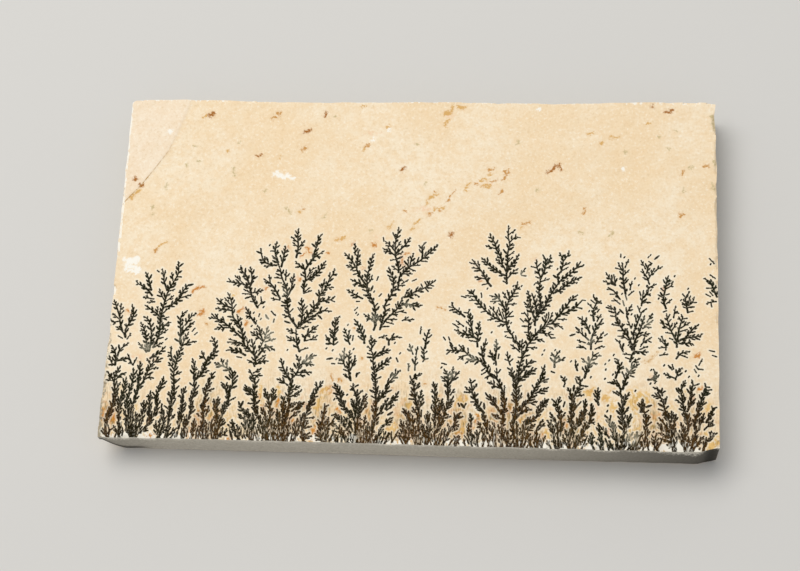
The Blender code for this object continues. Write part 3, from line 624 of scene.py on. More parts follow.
    "right, low": """
    270,-189 280,-190 / 263,-206 274,-204 / 264,-165 260,-156 /
    259,-229 265,-221 270,-215 / 275,-176 280,-159 286,-153 294,-153 /
    277,-170 271,-159 / 279,-157 287,-142 287,-134 / 287,-141 296,-135 /
    289,-141 300,-140 / 279,-153 270,-145 / 297,-219 295,-210 296,-192 /
    262,-284 272,-266 275,-255 279,-247 / 272,-268 279,-255 290,-242 /
    265,-283 279,-274 / 262,-277 267,-268 / 262,-259 267,-247 269,-235 /
    269,-250 276,-225 277,-211 / 284,-246 288,-226 286,-218 /
    288,-284 285,-275 287,-264 / 302,-286 302,-272 297,-249 /
    314,-271 303,-257 299,-252 / 299,-284 294,-279 / 304,-284 303,-269 /
    319,-287 313,-283 309,-274 / 327,-284 323,-270 317,-250 310,-238 307,-237 /
    315,-244 316,-236 / 323,-261 323,-251 / 328,-284 328,-267 /
    333,-284 336,-267 336,-253 333,-230 335,-215 341,-204 344,-198 /
    331,-234 325,-228 / 332,-243 327,-237 / 334,-250 328,-244 /
    335,-258 328,-252 / 336,-233 343,-222 / 339,-257 342,-245 347,-233 /
    342,-254 346,-252 / 333,-207 330,-200 331,-193 323,-184 311,-183 /
    328,-203 319,-197 / 323,-184 320,-178 / 306,-178 /
    334,-193 338,-179 343,-168 348,-160 359,-152 / 346,-168 352,-166 /
    345,-171 351,-173 / 338,-178 333,-165 / 343,-167 339,-159 /
    347,-158 348,-150 360,-143 / 323,-175 325,-168 329,-159 325,-145 321,-144 /
    319,-139 / 345,-148 350,-133 360,-132 373,-132 / 345,-144 338,-142 /
    345,-137 334,-136 / 334,-132 329,-123 / 306,-154 / 312,-148 / 307,-163 /
    311,-221 / 310,-230 / 284,-176 / 318,-171 / 353,-196 /
    356,-288 369,-272 370,-249 369,-234 363,-218 365,-208 / 372,-250 378,-245 /
    366,-229 361,-229 / 369,-230 374,-226 / 370,-221 378,-218 /
    351,-287 358,-266 356,-261 / 356,-284 361,-271 364,-261 /
    338,-284 343,-275 350,-262 / 344,-287 346,-281 / 373,-285 372,-271 /
    386,-287 383,-270 387,-263 / 385,-276 389,-271 / 381,-261 /
    373,-177 385,-175 384,-165 381,-160 / 377,-162 / 376,-184 / 383,-183 /
    395,-202 393,-195 381,-189 / 394,-198 399,-195 /
    411,-276 405,-264 388,-246 / 411,-272 399,-249 390,-238 /
    410,-269 409,-257 401,-233 397,-216 397,-209 387,-204 379,-202 /
    399,-215 402,-204 / 400,-223 404,-219 / 396,-226 389,-224 /
    396,-220 389,-215 / 409,-244 409,-227 / 405,-239 405,-230 /
    410,-270 393,-262 388,-262 / 409,-277 394,-271 388,-270 /
    413,-277 409,-283 402,-280 / 417,-270 412,-259 413,-247 416,-232 /
    427,-277 421,-270 418,-261 / 428,-276 425,-266 421,-257 /
    428,-272 429,-261 423,-245 / 434,-276 435,-267 /
    434,-257 434,-245 427,-219 425,-203 423,-193 429,-182 430,-177 /
    428,-226 421,-223 / 427,-217 416,-208 / 421,-198 416,-190 /
    428,-212 430,-207 / 433,-226 439,-211 438,-196 442,-184 440,-176 /
    444,-185 451,-182 / 439,-205 444,-199 / 445,-255 444,-244 450,-227 454,-212
    455,-205 462,-194 460,-181 / 464,-192 470,-191 / 462,-187 467,-187 /
    456,-216 462,-212 / 440,-283 446,-261 447,-250 / 451,-255 453,-244 459,-229 /
    444,-283 451,-274 458,-266 / 451,-286 / 460,-277 469,-266 478,-260 /
    459,-255 469,-244 472,-240 / 462,-243 471,-228 472,-221 478,-219 /
    415,-176 420,-161 425,-157 / 414,-174 405,-170 397,-167 / 410,-160 404,-153 /
    412,-159 410,-152 / 397,-154 / 430,-163 / 435,-172 / 450,-170 /
    447,-164 444,-159 / 450,-159 446,-153 / 451,-152 456,-142 /
    450,-158 457,-159 / 416,-142 423,-134 437,-130 / 423,-136 433,-140 /
    391,-137 403,-135 / 467,-128 475,-130 / 472,-136 478,-138 /
    """,
    "right, high": """
    263,7 269,8.5 271,11 / 260,-60 270,-48 274,-49 / 261,-61 269,-62 /
    284,-129 285,-112 291,-95 302,-79 / 293,-83 299,-72 / 294,-90 303,-86 /
    280,-114 267,-102 261,-96 / 271,-107 269,-95 / 282,-103 274,-85 263,-77 /
    280,-96 282,-90 / 275,-119 263,-115 / 276,-129 271,-125 262,-127 /
    291,-120 303,-101 / 294,-117 301,-116 / 305,-107 309,-104 /
    291,-129 299,-125 305,-125 / 286,-107 292,-106 / 283,-115 /
    288,-82 287,-74 288,-62 293,-49 287,-43 287,-39 / 289,-53 283,-48 /
    286,-62 278,-53 / 287,-75 283,-73 / 280,-67.5 / 293,-68 296,-64 /
    321,-23 313,-13 306,-2 / 321,-22 318,-5 / 320,-23 302,-16 /
    328,-46 318,-32 308,-30 / 317,-31 310,-27 / 320,-38 313,-38 /
    328,-54 319,-46 / 324,-49 316,-49 /
    337,-37 333,-12 333,3 331,15 / 334,-6 342,3 / 335,-20 341,-13 /
    331,2 325,15 / 328,4 321,6 / 336,7 341,20 / 329,24 329,29 / 334,23 /
    344,-30 347,-16 / 342,-39 350,-32 / 339,-47 337,-40 / 335,-57 333,-49 /
    331,-38 / 351,-12 / 357,-23 / 348,-129 344,-112 333,-96 323,-80 321,-66
    310,-57 / 316,-63 307,-60 / 320,-69 311,-66 / 321,-75 314,-74 /
    327,-90 316,-88 / 333,-98 326,-98 / 342,-113 334,-107 326,-107 /
    334,-129 327,-116 322,-112 / 342,-122 / 346,-94 341,-82 / 347,-93 348,-87 /
    351,-129 352,-115 360,-97 365,-79 367,-73 /
    350,-111 351,-98 360,-74 362,-67.5 370,-61 / 360,-68 356,-57 /
    354,-83 352,-72 / 364,-94 369,-91 377,-92 / 367,-90 380,-80 /
    371,-83 379,-69 / 356,-109 362,-105 375,-102 / 362,-120 369,-114 378,-108 /
    372,-113 377,-116 / 360,-128 372,-123 / 361,-123 365,-117 /
    362,-56 364,-40 365,-31 / 362,-53 370,-50 376,-51 / 365,-43 372,-33
    373,-27 385,-20 / 376,-31 / 361,-40 359,-33 / 374,-20 369,-6 361,0.5 /
    365,-1 363,4 / 370,-2 373,11 378,14 373,17.5 / 368,5 361,19 /
    373,-11 382,6 / 382,0.5 387,5 394,9 / 382,21 389,27 / 372,24 / 375,27 /
    334,-70 328,-63 / 341,-79 339,-70 347,-55 / 346,-72 / 468,23 475,15 /
    469,13 / 479,-40 472,-23 468,-15 459,-10 / 469,-4 477,-10 /
    471,-26 463,-26 / 473,-38 468,-32 / 469,-40 462,-36 / 478,-48 470,-49
    463,-52 / 470,-51 471,-57 / 400,-60 396,-45 399,-29 402,-12 404,-6 /
    401,-27 408,-23 411,-15 / 396,-31 392,-27 / 395,-42 388,-38 / 388,-45 /
    400,-38 405,-36 / 401,-52 409,-45 / 398,-55 393,-50 / 413,-7.5 /
    417,-123 416,-113 408,-96 402,-77 401,-69 / 409,-97 395,-86 392,-79 /
    410,-101 400,-100 / 404,-83 408,-78 / 403,-77 406,-70 / 410,-95 417,-83 /
    418,-111 421,-92 426,-74 424,-70 / 426,-77 433,-76 / 422,-98 433,-94 /
    423,-92 437,-83 / 419,-114 428,-109 452,-105 457,-101 / 430,-108 444,-91
    451,-86 / 421,-117 439,-117 443,-120 / 411,-111 406,-109 /
    400,-128 400,-119 393,-106 / 399,-120 389,-109 / 401,-124 389,-125 /
    434,-66 431,-49 430,-43 437,-32 / 434,-28 / 430,-41 426,-36 /
    434,-54 438,-39 / 435,-55 442,-49 444,-41 / 435,-58 444,-57 /
    433,-60 427,-57 / 423,-47 / 435,-66 442,-64 / 412,-75 415,-56 /
    396,-66 401,-64 /
    """,
}


# Growth of the stain: sizes in millimetres, angles in degrees
UPWARDS = np.array([0.0, 1.0])
LIMB_TENTHS = 10.0
SPOT_RUN = (0.11, 0.17)
ROOT_LINE = -27.4
ROOT_LEAN = 0.3
CURVE_STEP = 0.55
LIMB_RADIUS = (0.195, 0.118)
CROWDED_LIMB = 1.22
SLENDER_LENGTH = 3.0
SLENDER_LEAST = 0.72
TWIG_LIMB = 1.0
TWIG_RADIUS = (0.126, 0.192, 0.130)
TWIG_THICK = (0.88, 1.14)
TWIG_FIRST = (0.3, 0.7)
TWIG_SPACING = 0.37
TWIG_UNEVEN = (0.7, 1.3)
TWIG_LENGTH = (0.52, 0.98)
TWIG_ANGLE = (32.0, 50.0)
TWIG_SHORTER = (1.0, 0.72, 0.48)
TWIG_CLEAR = 0.28
TWIG_BOW = 0.25
TWIG_MIDDLE = 0.55
TWIG_END_CLEAR = 0.22
TIP_RUN = 1.3
TIP_LEAST = 0.35
TIP_THIN = 0.3
BUD_TURN = (35.0, 60.0)
BUD_LENGTH = (0.26, 0.44)
BUD_TWIG = 0.6
BUD_CHANCE = 0.18
CROWDED_FROM, CROWDED_TO = -11.0, -25.0
CROWDED_SPACING, CROWDED_CLEAR = 0.74, 0.78
CROWDED_LENGTH, CROWDED_ANGLE = 1.20, 0.74
GROWTH_SEED = 5
STROKE_ROOM = 40000
STROKE_NEAR = 2.2

# Grass along the front arris, and the clearings in it: place and half width of each
GRASS_ENDS = 0.6
GRASS_SPACING = 0.29
GRASS_ASIDE = (-0.15, 0.15)
GRASS_IN = (0.0, 0.5)
GRASS_LENGTH = (0.7, 2.3)
GRASS_LEAN = (-32.0, 32.0)
GRASS_BOW = (-25.0, 25.0)
GRASS_RADIUS = (0.1534, 0.177, 0.0944)
GRASS_CLEAR = """
    -45.7,0.9 -40.2,1.3 -38.0,0.5 -28.3,0.6 -22.0,0.5 -12.9,0.8 -3.1,0.7 -0.9,0.6 6.2,0.5 22.3,0.8
    29.6,0.8 38.0,0.5 42.3,1.2 46.2,1.2
    """

# Fans of fine limbs in the densest roots: place along the front arris, half width, height and
# number of limbs of each
ROOT_FANS = """
    -20.9,0.8,3.6,3 -18.6,1.0,3.4,3 -6.5,1.4,3.5,7 -4.4,0.6,2.8,3 4.9,0.8,3.4,4 11.6,1.2,3.0,4
    14.4,1.2,3.2,4 17.4,1.4,3.8,7 20.2,0.8,2.8,3 35.6,0.9,2.2,2 -46.3,0.5,2.8,2 -22.4,0.6,3.4,3
    -9.9,0.8,3.0,3 -7.0,1.2,2.6,4 -4.0,0.7,3.2,2 5.3,0.5,3.2,2 26.2,1.0,3.2,3 32.4,1.0,3.0,3
    """
FAN_LEAN = 24.0
FAN_UNEVEN = 7.0
FAN_HEIGHT = (0.75, 1.0)
FAN_OUTER_LESS = 0.3
FAN_BOW = 0.08
FAN_SEED = 61


def limb_paths():
    """Every limb as an array of places. A limb of one place is a spot, and gets a second place
    just beside it. A limb rooted below the root line is led on down to the front arris."""
    paths = []
    for text in BUSHES.values():
        for limb in text.split("/"):
            places = [place.split(",") for place in limb.split()]
            if len(places) == 1:
                spot = np.array(places[0], float) / LIMB_TENTHS
                paths.append(np.array([spot, spot + SPOT_RUN]))
            elif places:
                path = np.array(places, float) / LIMB_TENTHS
                if path[0, 1] < ROOT_LINE:
                    lean = np.clip((path[0] - path[1])[0], -ROOT_LEAN, ROOT_LEAN)
                    path = np.vstack([(path[0, 0] + lean, -HALF[1]), path])
                paths.append(path)
    return paths


def root_fans():
    """Fine limbs that fill the densest roots: those of each fan rise from the front arris,
    evenly spread over its width, the outer ones shorter and leaning farther outwards."""
    rng = np.random.default_rng(FAN_SEED)
    paths = []
    for fan in ROOT_FANS.split():
        place, half_width, height, count = map(float, fan.split(","))
        for share in np.linspace(-1.0, 1.0, int(count)):
            foot = np.array([place + share * half_width, -HALF[1]])
            uneven = rng.uniform(-FAN_UNEVEN, FAN_UNEVEN)
            way = turned(UPWARDS, uneven - FAN_LEAN * share)
            tall = height * rng.uniform(*FAN_HEIGHT) * (1.0 - FAN_OUTER_LESS * abs(share))
            rise = np.array([0.0, FAN_BOW * tall])
            paths.append(np.array([foot, foot + 0.5 * tall * way, foot + tall * way + rise]))
    return paths


def smooth_path(path, step):
    """The path as a Catmull-Rom curve: each stretch is the cubic through its two ends whose
    slopes are half its neighbours' difference, sampled about every step."""
    ends = np.vstack([2 * path[0] - path[1], path, 2 * path[-1] - path[-2]])
    stretches = []
    for a, b, c, d in zip(ends[:-3], ends[1:-2], ends[2:-1], ends[3:]):
        count = max(1, int(round(np.linalg.norm(c - b) / step)))
        t = (np.arange(count) / count)[:, None]
        bend = (2 * a - 5 * b + 4 * c - d) * t**2 + (3 * b - a - 3 * c + d) * t**3
        stretches.append(0.5 * (2 * b + (c - a) * t + bend))
    return np.vstack(stretches + [path[-1:]])


def crowded(y, factor):
    """1 high up, and a smooth change to the factor towards the front, where the growth is
    dense."""
    return 1.0 + (factor - 1.0) * smooth_step(CROWDED_FROM, CROWDED_TO, y)


class Stain:
    """The strokes laid so far, as rows of start x, start y, end x, end y, start radius and end
    radius, and the number of the limb that each one belongs to."""

    def __init__(self):
        self.rows = np.zeros((STROKE_ROOM, 6))
        self.limb = np.full(STROKE_ROOM, -1)
        self.count = 0

    def lay(self, start, end, radii, limb):
        """Adds one stroke."""
        self.rows[self.count] = (*start, *end, *radii)
        self.limb[self.count] = limb
        self.count += 1

    def bare(self, places, limb):
        """Whether every place is clear of all strokes but this limb's own: its distance to
        each stroke's line is that to the nearest point between the stroke's ends."""
        rows = self.rows[: self.count]
        middle = (rows[:, 0:2] + rows[:, 2:4]) / 2.0
        near = np.all(np.abs(middle - places[0]) < STROKE_NEAR, axis=1)
        near &= self.limb[: self.count] != limb
        start, run = rows[near, 0:2], rows[near, 2:4] - rows[near, 0:2]
        for place in places:
            share = np.sum((place - start) * run, axis=1) / np.maximum(np.sum(run**2, axis=1), 1e-9)
            off = place - start - run * np.clip(share, 0.0, 1.0)[:, None]
            clear = TWIG_CLEAR * crowded(place[1], CROWDED_CLEAR)
            if np.any(np.hypot(off[:, 0], off[:, 1]) < clear):
                return False
        return True


def turned(way, degrees):
    """The direction turned counter-clockwise."""
    cos, sin = np.cos(np.radians(degrees)), np.sin(np.radians(degrees))
    return np.array([cos * way[0] - sin * way[1], sin * way[0] + cos * way[1]])


def grow_twig(stain, root, along, side, length, thickness, limb, rng):
    """A twig bowed a little towards its limb's way, widest at its middle as a leaf is, as long
    as there is bare stone for, and now and then a bud off its middle."""
    angle = rng.uniform(*TWIG_ANGLE) * crowded(root[1], CROWDED_ANGLE)
    length = length * crowded(root[1], CROWDED_LENGTH)
    way = turned(along, side * angle)
    bowed = way + TWIG_BOW * along
    bowed = bowed / np.linalg.norm(bowed)
    thick = thickness * rng.uniform(*TWIG_THICK)
    bud_turn, bud_length = rng.uniform(*BUD_TURN), rng.uniform(*BUD_LENGTH)
    budding = rng.uniform() < BUD_CHANCE
    for shorter in TWIG_SHORTER:
        middle = root + way * length * shorter * TWIG_MIDDLE
        tip = middle + bowed * length * shorter * (1.0 - TWIG_MIDDLE)
        if stain.bare((tip, middle), limb):
            radii = np.array(TWIG_RADIUS) * thick
            stain.lay(root, middle, radii[0:2], -1)
            stain.lay(middle, tip, radii[1:3], -1)
            bud = middle + turned(way, side * bud_turn) * bud_length
            if budding and length * shorter > BUD_TWIG and stain.bare((bud,), -1):
                stain.lay(middle, bud, radii[1:3], -1)
            return


def grow_grass(stain, rng):
    """Short leaning blades along the front arris, wherever its stone is still bare, but for
    the clearings, each a place and a half width."""
    clearings = [tuple(map(float, pair.split(","))) for pair in GRASS_CLEAR.split()]
    for place in np.arange(-HALF[0] + GRASS_ENDS, HALF[0] - GRASS_ENDS, GRASS_SPACING):
        aside, inwards = rng.uniform(*GRASS_ASIDE), rng.uniform(*GRASS_IN)
        root = np.array([place + aside, -HALF[1] + inwards])
        way = turned(UPWARDS, rng.uniform(*GRASS_LEAN))
        bowed = turned(way, rng.uniform(*GRASS_BOW))
        length = rng.uniform(*GRASS_LENGTH)
        if any(abs(root[0] - middle) < half for middle, half in clearings):
            continue
        middle = root + way * length * 0.5
        tip = middle + bowed * length * 0.5
        if stain.bare((middle, tip), -1):
            stain.lay(root, middle, GRASS_RADIUS[0:2], -1)
            stain.lay(middle, tip, GRASS_RADIUS[1:3], -1)


def lay_limbs(stain, curves):
    """Lays every limb's curve, thinning to its tip, but a short one is widest at its middle, as
    a twig is. Returns how far along its curve each place of it lies."""
    reaches = []
    for number, curve in enumerate(curves):
        lengths = np.linalg.norm(np.diff(curve, axis=0), axis=1)
        reach = np.concatenate([[0.0], np.cumsum(lengths)])
        slender = np.clip(reach[-1] / SLENDER_LENGTH, SLENDER_LEAST, 1.0)
        thick = np.interp(reach / reach[-1], (0.0, 1.0), LIMB_RADIUS) * slender
        thick = np.maximum(thick, LIMB_RADIUS[1])
        if TWIG_RADIUS[1] < reach[-1] < TWIG_LIMB:
            thick = np.interp(reach / reach[-1], (0.0, 0.5, 1.0), TWIG_RADIUS)
        thick = thick * crowded(curve[:, 1], CROWDED_LIMB)
        for k in range(len(curve) - 1):
            stain.lay(curve[k], curve[k + 1], thick[k : k + 2], number)
        reaches.append(reach)
    return reaches


def grow(paths):
    """Strokes of the whole stain: the limbs, then grass along the arris, then twigs off each
    limb but the short ones. These go to alternate sides at nearly even spacing, with seeded
    lengths and angles, smaller near the limb's tip, and only where the stone is still bare."""
    rng = np.random.default_rng(GROWTH_SEED)
    stain = Stain()
    curves = [smooth_path(path, CURVE_STEP) for path in paths]
    reaches = lay_limbs(stain, curves)
    grow_grass(stain, rng)
    for number, (curve, reach) in enumerate(zip(curves, reaches)):
        total = reach[-1]
        if total < TWIG_LIMB:
            continue
        side = rng.choice((-1.0, 1.0))
        place = rng.uniform(*TWIG_FIRST)
        while place < total - TWIG_END_CLEAR:
            k = min(np.searchsorted(reach, place) - 1, len(curve) - 2)
            along = (curve[k + 1] - curve[k]) / (reach[k + 1] - reach[k])
            root = curve[k] + along * (place - reach[k])
            near_tip = np.clip((total - place) / TIP_RUN, TIP_LEAST, 1.0)
            length = rng.uniform(*TWIG_LENGTH) * near_tip
            thickness = TIP_THIN + (1.0 - TIP_THIN) * near_tip
            grow_twig(stain, root, along, side, length, thickness, number, rng)
            side = -side
            uneven = rng.uniform(*TWIG_UNEVEN)
            place += TWIG_SPACING * uneven * crowded(root[1], CROWDED_SPACING)
    return stain.rows[: stain.count]


# Flecks, streaks and bruises, by colour. Each is both ends of its middle line and its radius,
# and a slash ends it.
FLECKS = {
    # rust-brown flecks
    "#a5661f": """
    -34.9,26.2 -34.3,26.5 0.24 / -18.8,23.5 -18.1,23.6 0.17 / -26.5,19.2 -25.8,19.4 0.16 /
    -46.5,14.6 -46.2,15.0 0.14 / -45.5,13.7 -45.0,13.7 0.20 / -15.7,26.4 -15.5,26.9 0.13 /
    -2.6,16.9 -2.1,17.2 0.14 / 21.1,16.8 22.2,17.6 0.20 / 22.2,17.6 22.9,17.9 0.13 /
    22.8,17.7 23.2,17.2 0.08 / 22.9,17.8 22.9,18.4 0.07 / 5.75,5.65 5.9,5.75 0.20 /
    37.75,28.5 37.95,28.55 0.17 / 39.9,27.5 40.8,27.6 0.16 /
    """,
    # orange-brown
    "#c9853c": """
    -35.3,-4.6 -34.4,-3.9 0.20 / -34.4,-3.9 -33.5,-3.6 0.13 / -34.1,-8.3 -33.2,-7.7 0.20 /
    -45.9,-7.9 -44.9,-8.5 0.12 / -27.7,-7.8 -26.5,-7.1 0.18 / -23.9,-4.1 -23.1,-3.7 0.11 /
    -26.5,-9.9 -26.2,-9.3 0.14 / -20.6,3.0 -20.3,3.2 0.17 / -18.1,1.8 -17.5,2.3 0.12 /
    -18.1,-2.2 -18.0,-2.0 0.15 / -17.1,3.3 -16.5,2.3 0.13 / -14.0,2.2 -13.8,2.3 0.14 /
    -1.9,2.1 -1.7,0.5 0.20 / -1.9,2.3 -0.6,2.7 0.08 / -6.6,3.6 -6.2,3.9 0.14 /
    39.6,-2.8 40.3,-2.5 0.15 / 44.6,-13.8 45.1,-13.6 0.19 / 37.5,-17.7 37.8,-17.4 0.14 /
    19.4,1.8 19.6,1.8 0.14 / -8.0,-0.3 -7.9,-0.1 0.10 / 10.6,-1.7 10.8,-1.5 0.14 /
    -10.0,3.9 -9.8,4.1 0.14 /
    """,
    # fainter rust
    "#ca9350": """
    -24.3,25.9 -23.8,26.0 0.20 / -23.4,26.8 -23.1,26.4 0.16 / -19.1,20.3 -18.5,20.5 0.15 /
    5.0,11.6 5.6,12.5 0.12 / 5.6,12.5 6.3,13.2 0.08 / 12.0,15.2 12.9,15.4 0.15 /
    13.5,12.9 13.9,13.3 0.15 / 14.3,16.9 14.4,16.3 0.16 / 14.4,16.3 14.8,16.9 0.12 /
    11.5,17.1 12.1,17.1 0.12 / 13.8,15.3 14.2,15.9 0.11 / 9.5,14.5 9.8,14.6 0.14 /
    -8.8,20.9 -8.2,21.15 0.11 / 26.8,9.7 27.1,10.5 0.11 / 42.5,16.5 42.75,17.1 0.11 /
    42.2,9.6 42.7,9.8 0.16 / 46.0,18.0 46.7,18.0 0.15 / -18.3,9.75 -18.2,9.85 0.12 /
    3.0,13.2 3.15,13.2 0.12 / -1.9,9.65 -1.6,9.7 0.14 / 17.2,7.9 17.5,7.9 0.10 /
    17.9,8.0 18.4,8.1 0.14 / 2.1,9.1 2.7,9.4 0.10 / 3.6,9.9 4.0,9.9 0.13 /
    -41.95,2.4 -41.65,2.6 0.16 / -12.0,-18.9 -12.0,-18.1 0.10 / -11.1,-18.75 -10.4,-18.75 0.10 /
    4.1,-6.6 5.2,-7.0 0.04 / -32.7,-9.9 -32.5,-9.9 0.10 / -9.1,-10.3 -9.0,-10.3 0.10 /
    -7.5,-15.1 -7.4,-15.1 0.11 / -2.5,-20.0 -2.4,-20.0 0.12 / 2.2,-15.5 2.3,-15.5 0.10 /
    2.6,-19.3 2.7,-19.3 0.10 / 19.6,1.8 19.7,1.8 0.12 /
    -12.5,-20.5 -12.3,-20.0 0.10 / -12.1,-19.8 -11.6,-19.8 0.10 / -11.3,-20.1 -11.3,-20.6 0.10 /
    -11.6,-20.9 -12.2,-20.9 0.09 / 8.2,-26.6 8.0,-27.5 0.06 / 8.0,-27.5 8.5,-28.4 0.06 /
    -43.1,-16.4 -42.7,-16.1 0.10 / -40.6,-16.2 -40.2,-16.4 0.10 / 24.5,-25.6 24.7,-25.0 0.12 /
    """,
    # ochre
    "#daac68": """
    4.2,26.9 4.8,27.0 0.33 / 4.9,27.2 5.4,27.9 0.16 / 6.2,28.1 6.8,27.9 0.28 /
    4.8,25.8 4.2,24.7 0.09 / 2.2,12.1 2.7,12.2 0.17 / 2.9,12.6 3.4,12.6 0.12 /
    1.9,11.4 1.8,10.7 0.07 / 3.0,10.0 4.5,10.4 0.10 / 10.2,15.4 11.3,15.3 0.10 /
    10.4,14.1 11.9,14.2 0.10 / 8.1,13.3 8.0,14.2 0.09 / 8.0,14.2 8.7,14.6 0.09 /
    0.4,7.9 0.6,8.2 0.14 / -0.1,7.4 0.3,7.8 0.08 / -4.3,7.0 -3.6,7.6 0.10 /
    -12.6,4.6 -11.2,5.05 0.12 / -41.6,2.8 -40.2,4.1 0.08 / -46.8,11.5 -45.6,12.8 0.16 /
    -35.9,25.9 -35.4,26.2 0.13 / 29.4,21.8 29.7,21.9 0.15 / 31.1,23.0 32.4,23.0 0.08 /
    27.4,23.4 28.2,23.5 0.11 / -5.3,24.4 -4.9,24.5 0.11 / 36.6,25.3 37.5,25.5 0.05 /
    -8.9,20.6 -9.1,20.4 0.09 / 11.5,16.2 12.1,16.6 0.09 / -19.0,9.4 -18.6,9.6 0.08 /
    -9.6,28.1 -8.8,28.3 0.10 / -31.4,19.9 -31.3,19.9 0.14 / -22.7,18.8 -22.6,18.8 0.12 /
    28.1,-19.8 28.9,-19.7 0.20 / 30.5,-20.8 30.9,-20.8 0.16 / -13.6,-21.0 -13.6,-20.2 0.12 /
    31.0,-19.8 32.2,-19.0 0.05 / 17.0,7.2 17.2,7.3 0.09 / -0.4,6.5 -0.3,6.7 0.12 /
    """,
    # grey-olive specks
    "#cdb98c": """
    -41.15,13.45 -41.05,13.6 0.13 / -43.1,9.8 -43.0,9.8 0.12 / -43.0,8.5 -42.9,8.6 0.12 /
    -24.75,13.1 -24.6,13.1 0.12 / -37.1,20.6 -36.8,20.7 0.12 / -14.1,26.3 -14.0,26.3 0.13 /
    -36.3,18.0 -36.1,18.0 0.14 / -38.1,17.4 -37.9,17.4 0.14 / 42.7,13.7 42.8,13.9 0.13 /
    19.4,13.7 19.6,13.7 0.13 / 38.8,23.1 39.0,23.2 0.11 / 40.1,21.1 40.5,20.9 0.09 /
    31.0,6.1 31.4,6.2 0.10 / 26.3,6.5 26.9,6.6 0.09 / 43.7,17.8 44.1,17.8 0.09 /
    33.4,20.4 33.6,20.5 0.10 / -7.2,6.3 -6.9,6.5 0.10 / -29.6,21.4 -29.5,21.4 0.09 /
    16.0,21.8 16.2,21.9 0.10 / -0.4,21.3 -0.3,21.3 0.09 / 41.3,24.3 41.7,24.0 0.05 /
    47.5,26.6 47.5,25.5 0.22 / 47.6,25.4 47.6,24.6 0.16 / 47.6,19.0 47.6,18.4 0.14 /
    47.5,14.9 47.4,14.2 0.10 / -20.7,9.6 -20.5,9.3 0.16 / -14.9,8.7 -14.6,8.8 0.09 /
    -30.2,17.0 -29.9,15.6 0.09 / -21.0,10.0 -20.9,9.6 0.09 / 1.4,14.3 1.5,14.5 0.08 /
    """,
    # grey along the front-left corner and the front of the left arris: partly wear, partly painted
    # shade
    "#a0957f": """
    -48.2,-28.7 -48.25,-26.8 0.30 / -48.35,-26.8 -48.4,-23.5 0.17 / -48.4,-23.5 -48.25,-18.0 0.09 /
    -47.6,-28.9 -46.9,-28.95 0.14 / -48.2,-17.5 -48.05,-12.0 0.05 /
    """,
    # thin brown lines
    "#cfa874": """
    36.3,-15.1 37.2,-14.6 0.02 / 37.2,-14.6 38.2,-13.9 0.02 / 38.2,-13.9 38.7,-13.2 0.02 /
    """,
    # white bruises
    "#fcf7ea": """
    -23.3,15.8 -21.6,15.5 0.36 / -21.6,15.5 -20.3,15.2 0.22 / -22.9,16.3 -22.7,15.9 0.20 /
    -46.0,0.40 -45.1,0.45 0.56 / -46.45,-0.1 -46.35,-1.0 0.26 / -46.1,-1.1 -44.4,-1.4 0.25 /
    -45.0,-0.7 -44.4,-1.1 0.27 / -45.9,-0.4 -45.4,-0.5 0.34 / -7.7,22.0 -7.4,22.1 0.20 /
    -5.1,24.0 -4.9,24.1 0.14 / -41.4,23.2 -41.1,23.2 0.18 /
    33.1,17.3 33.2,17.5 0.14 / 19.3,27.7 19.5,27.9 0.20 / -46.9,0.8 -46.75,0.7 0.20 /
    """,
}

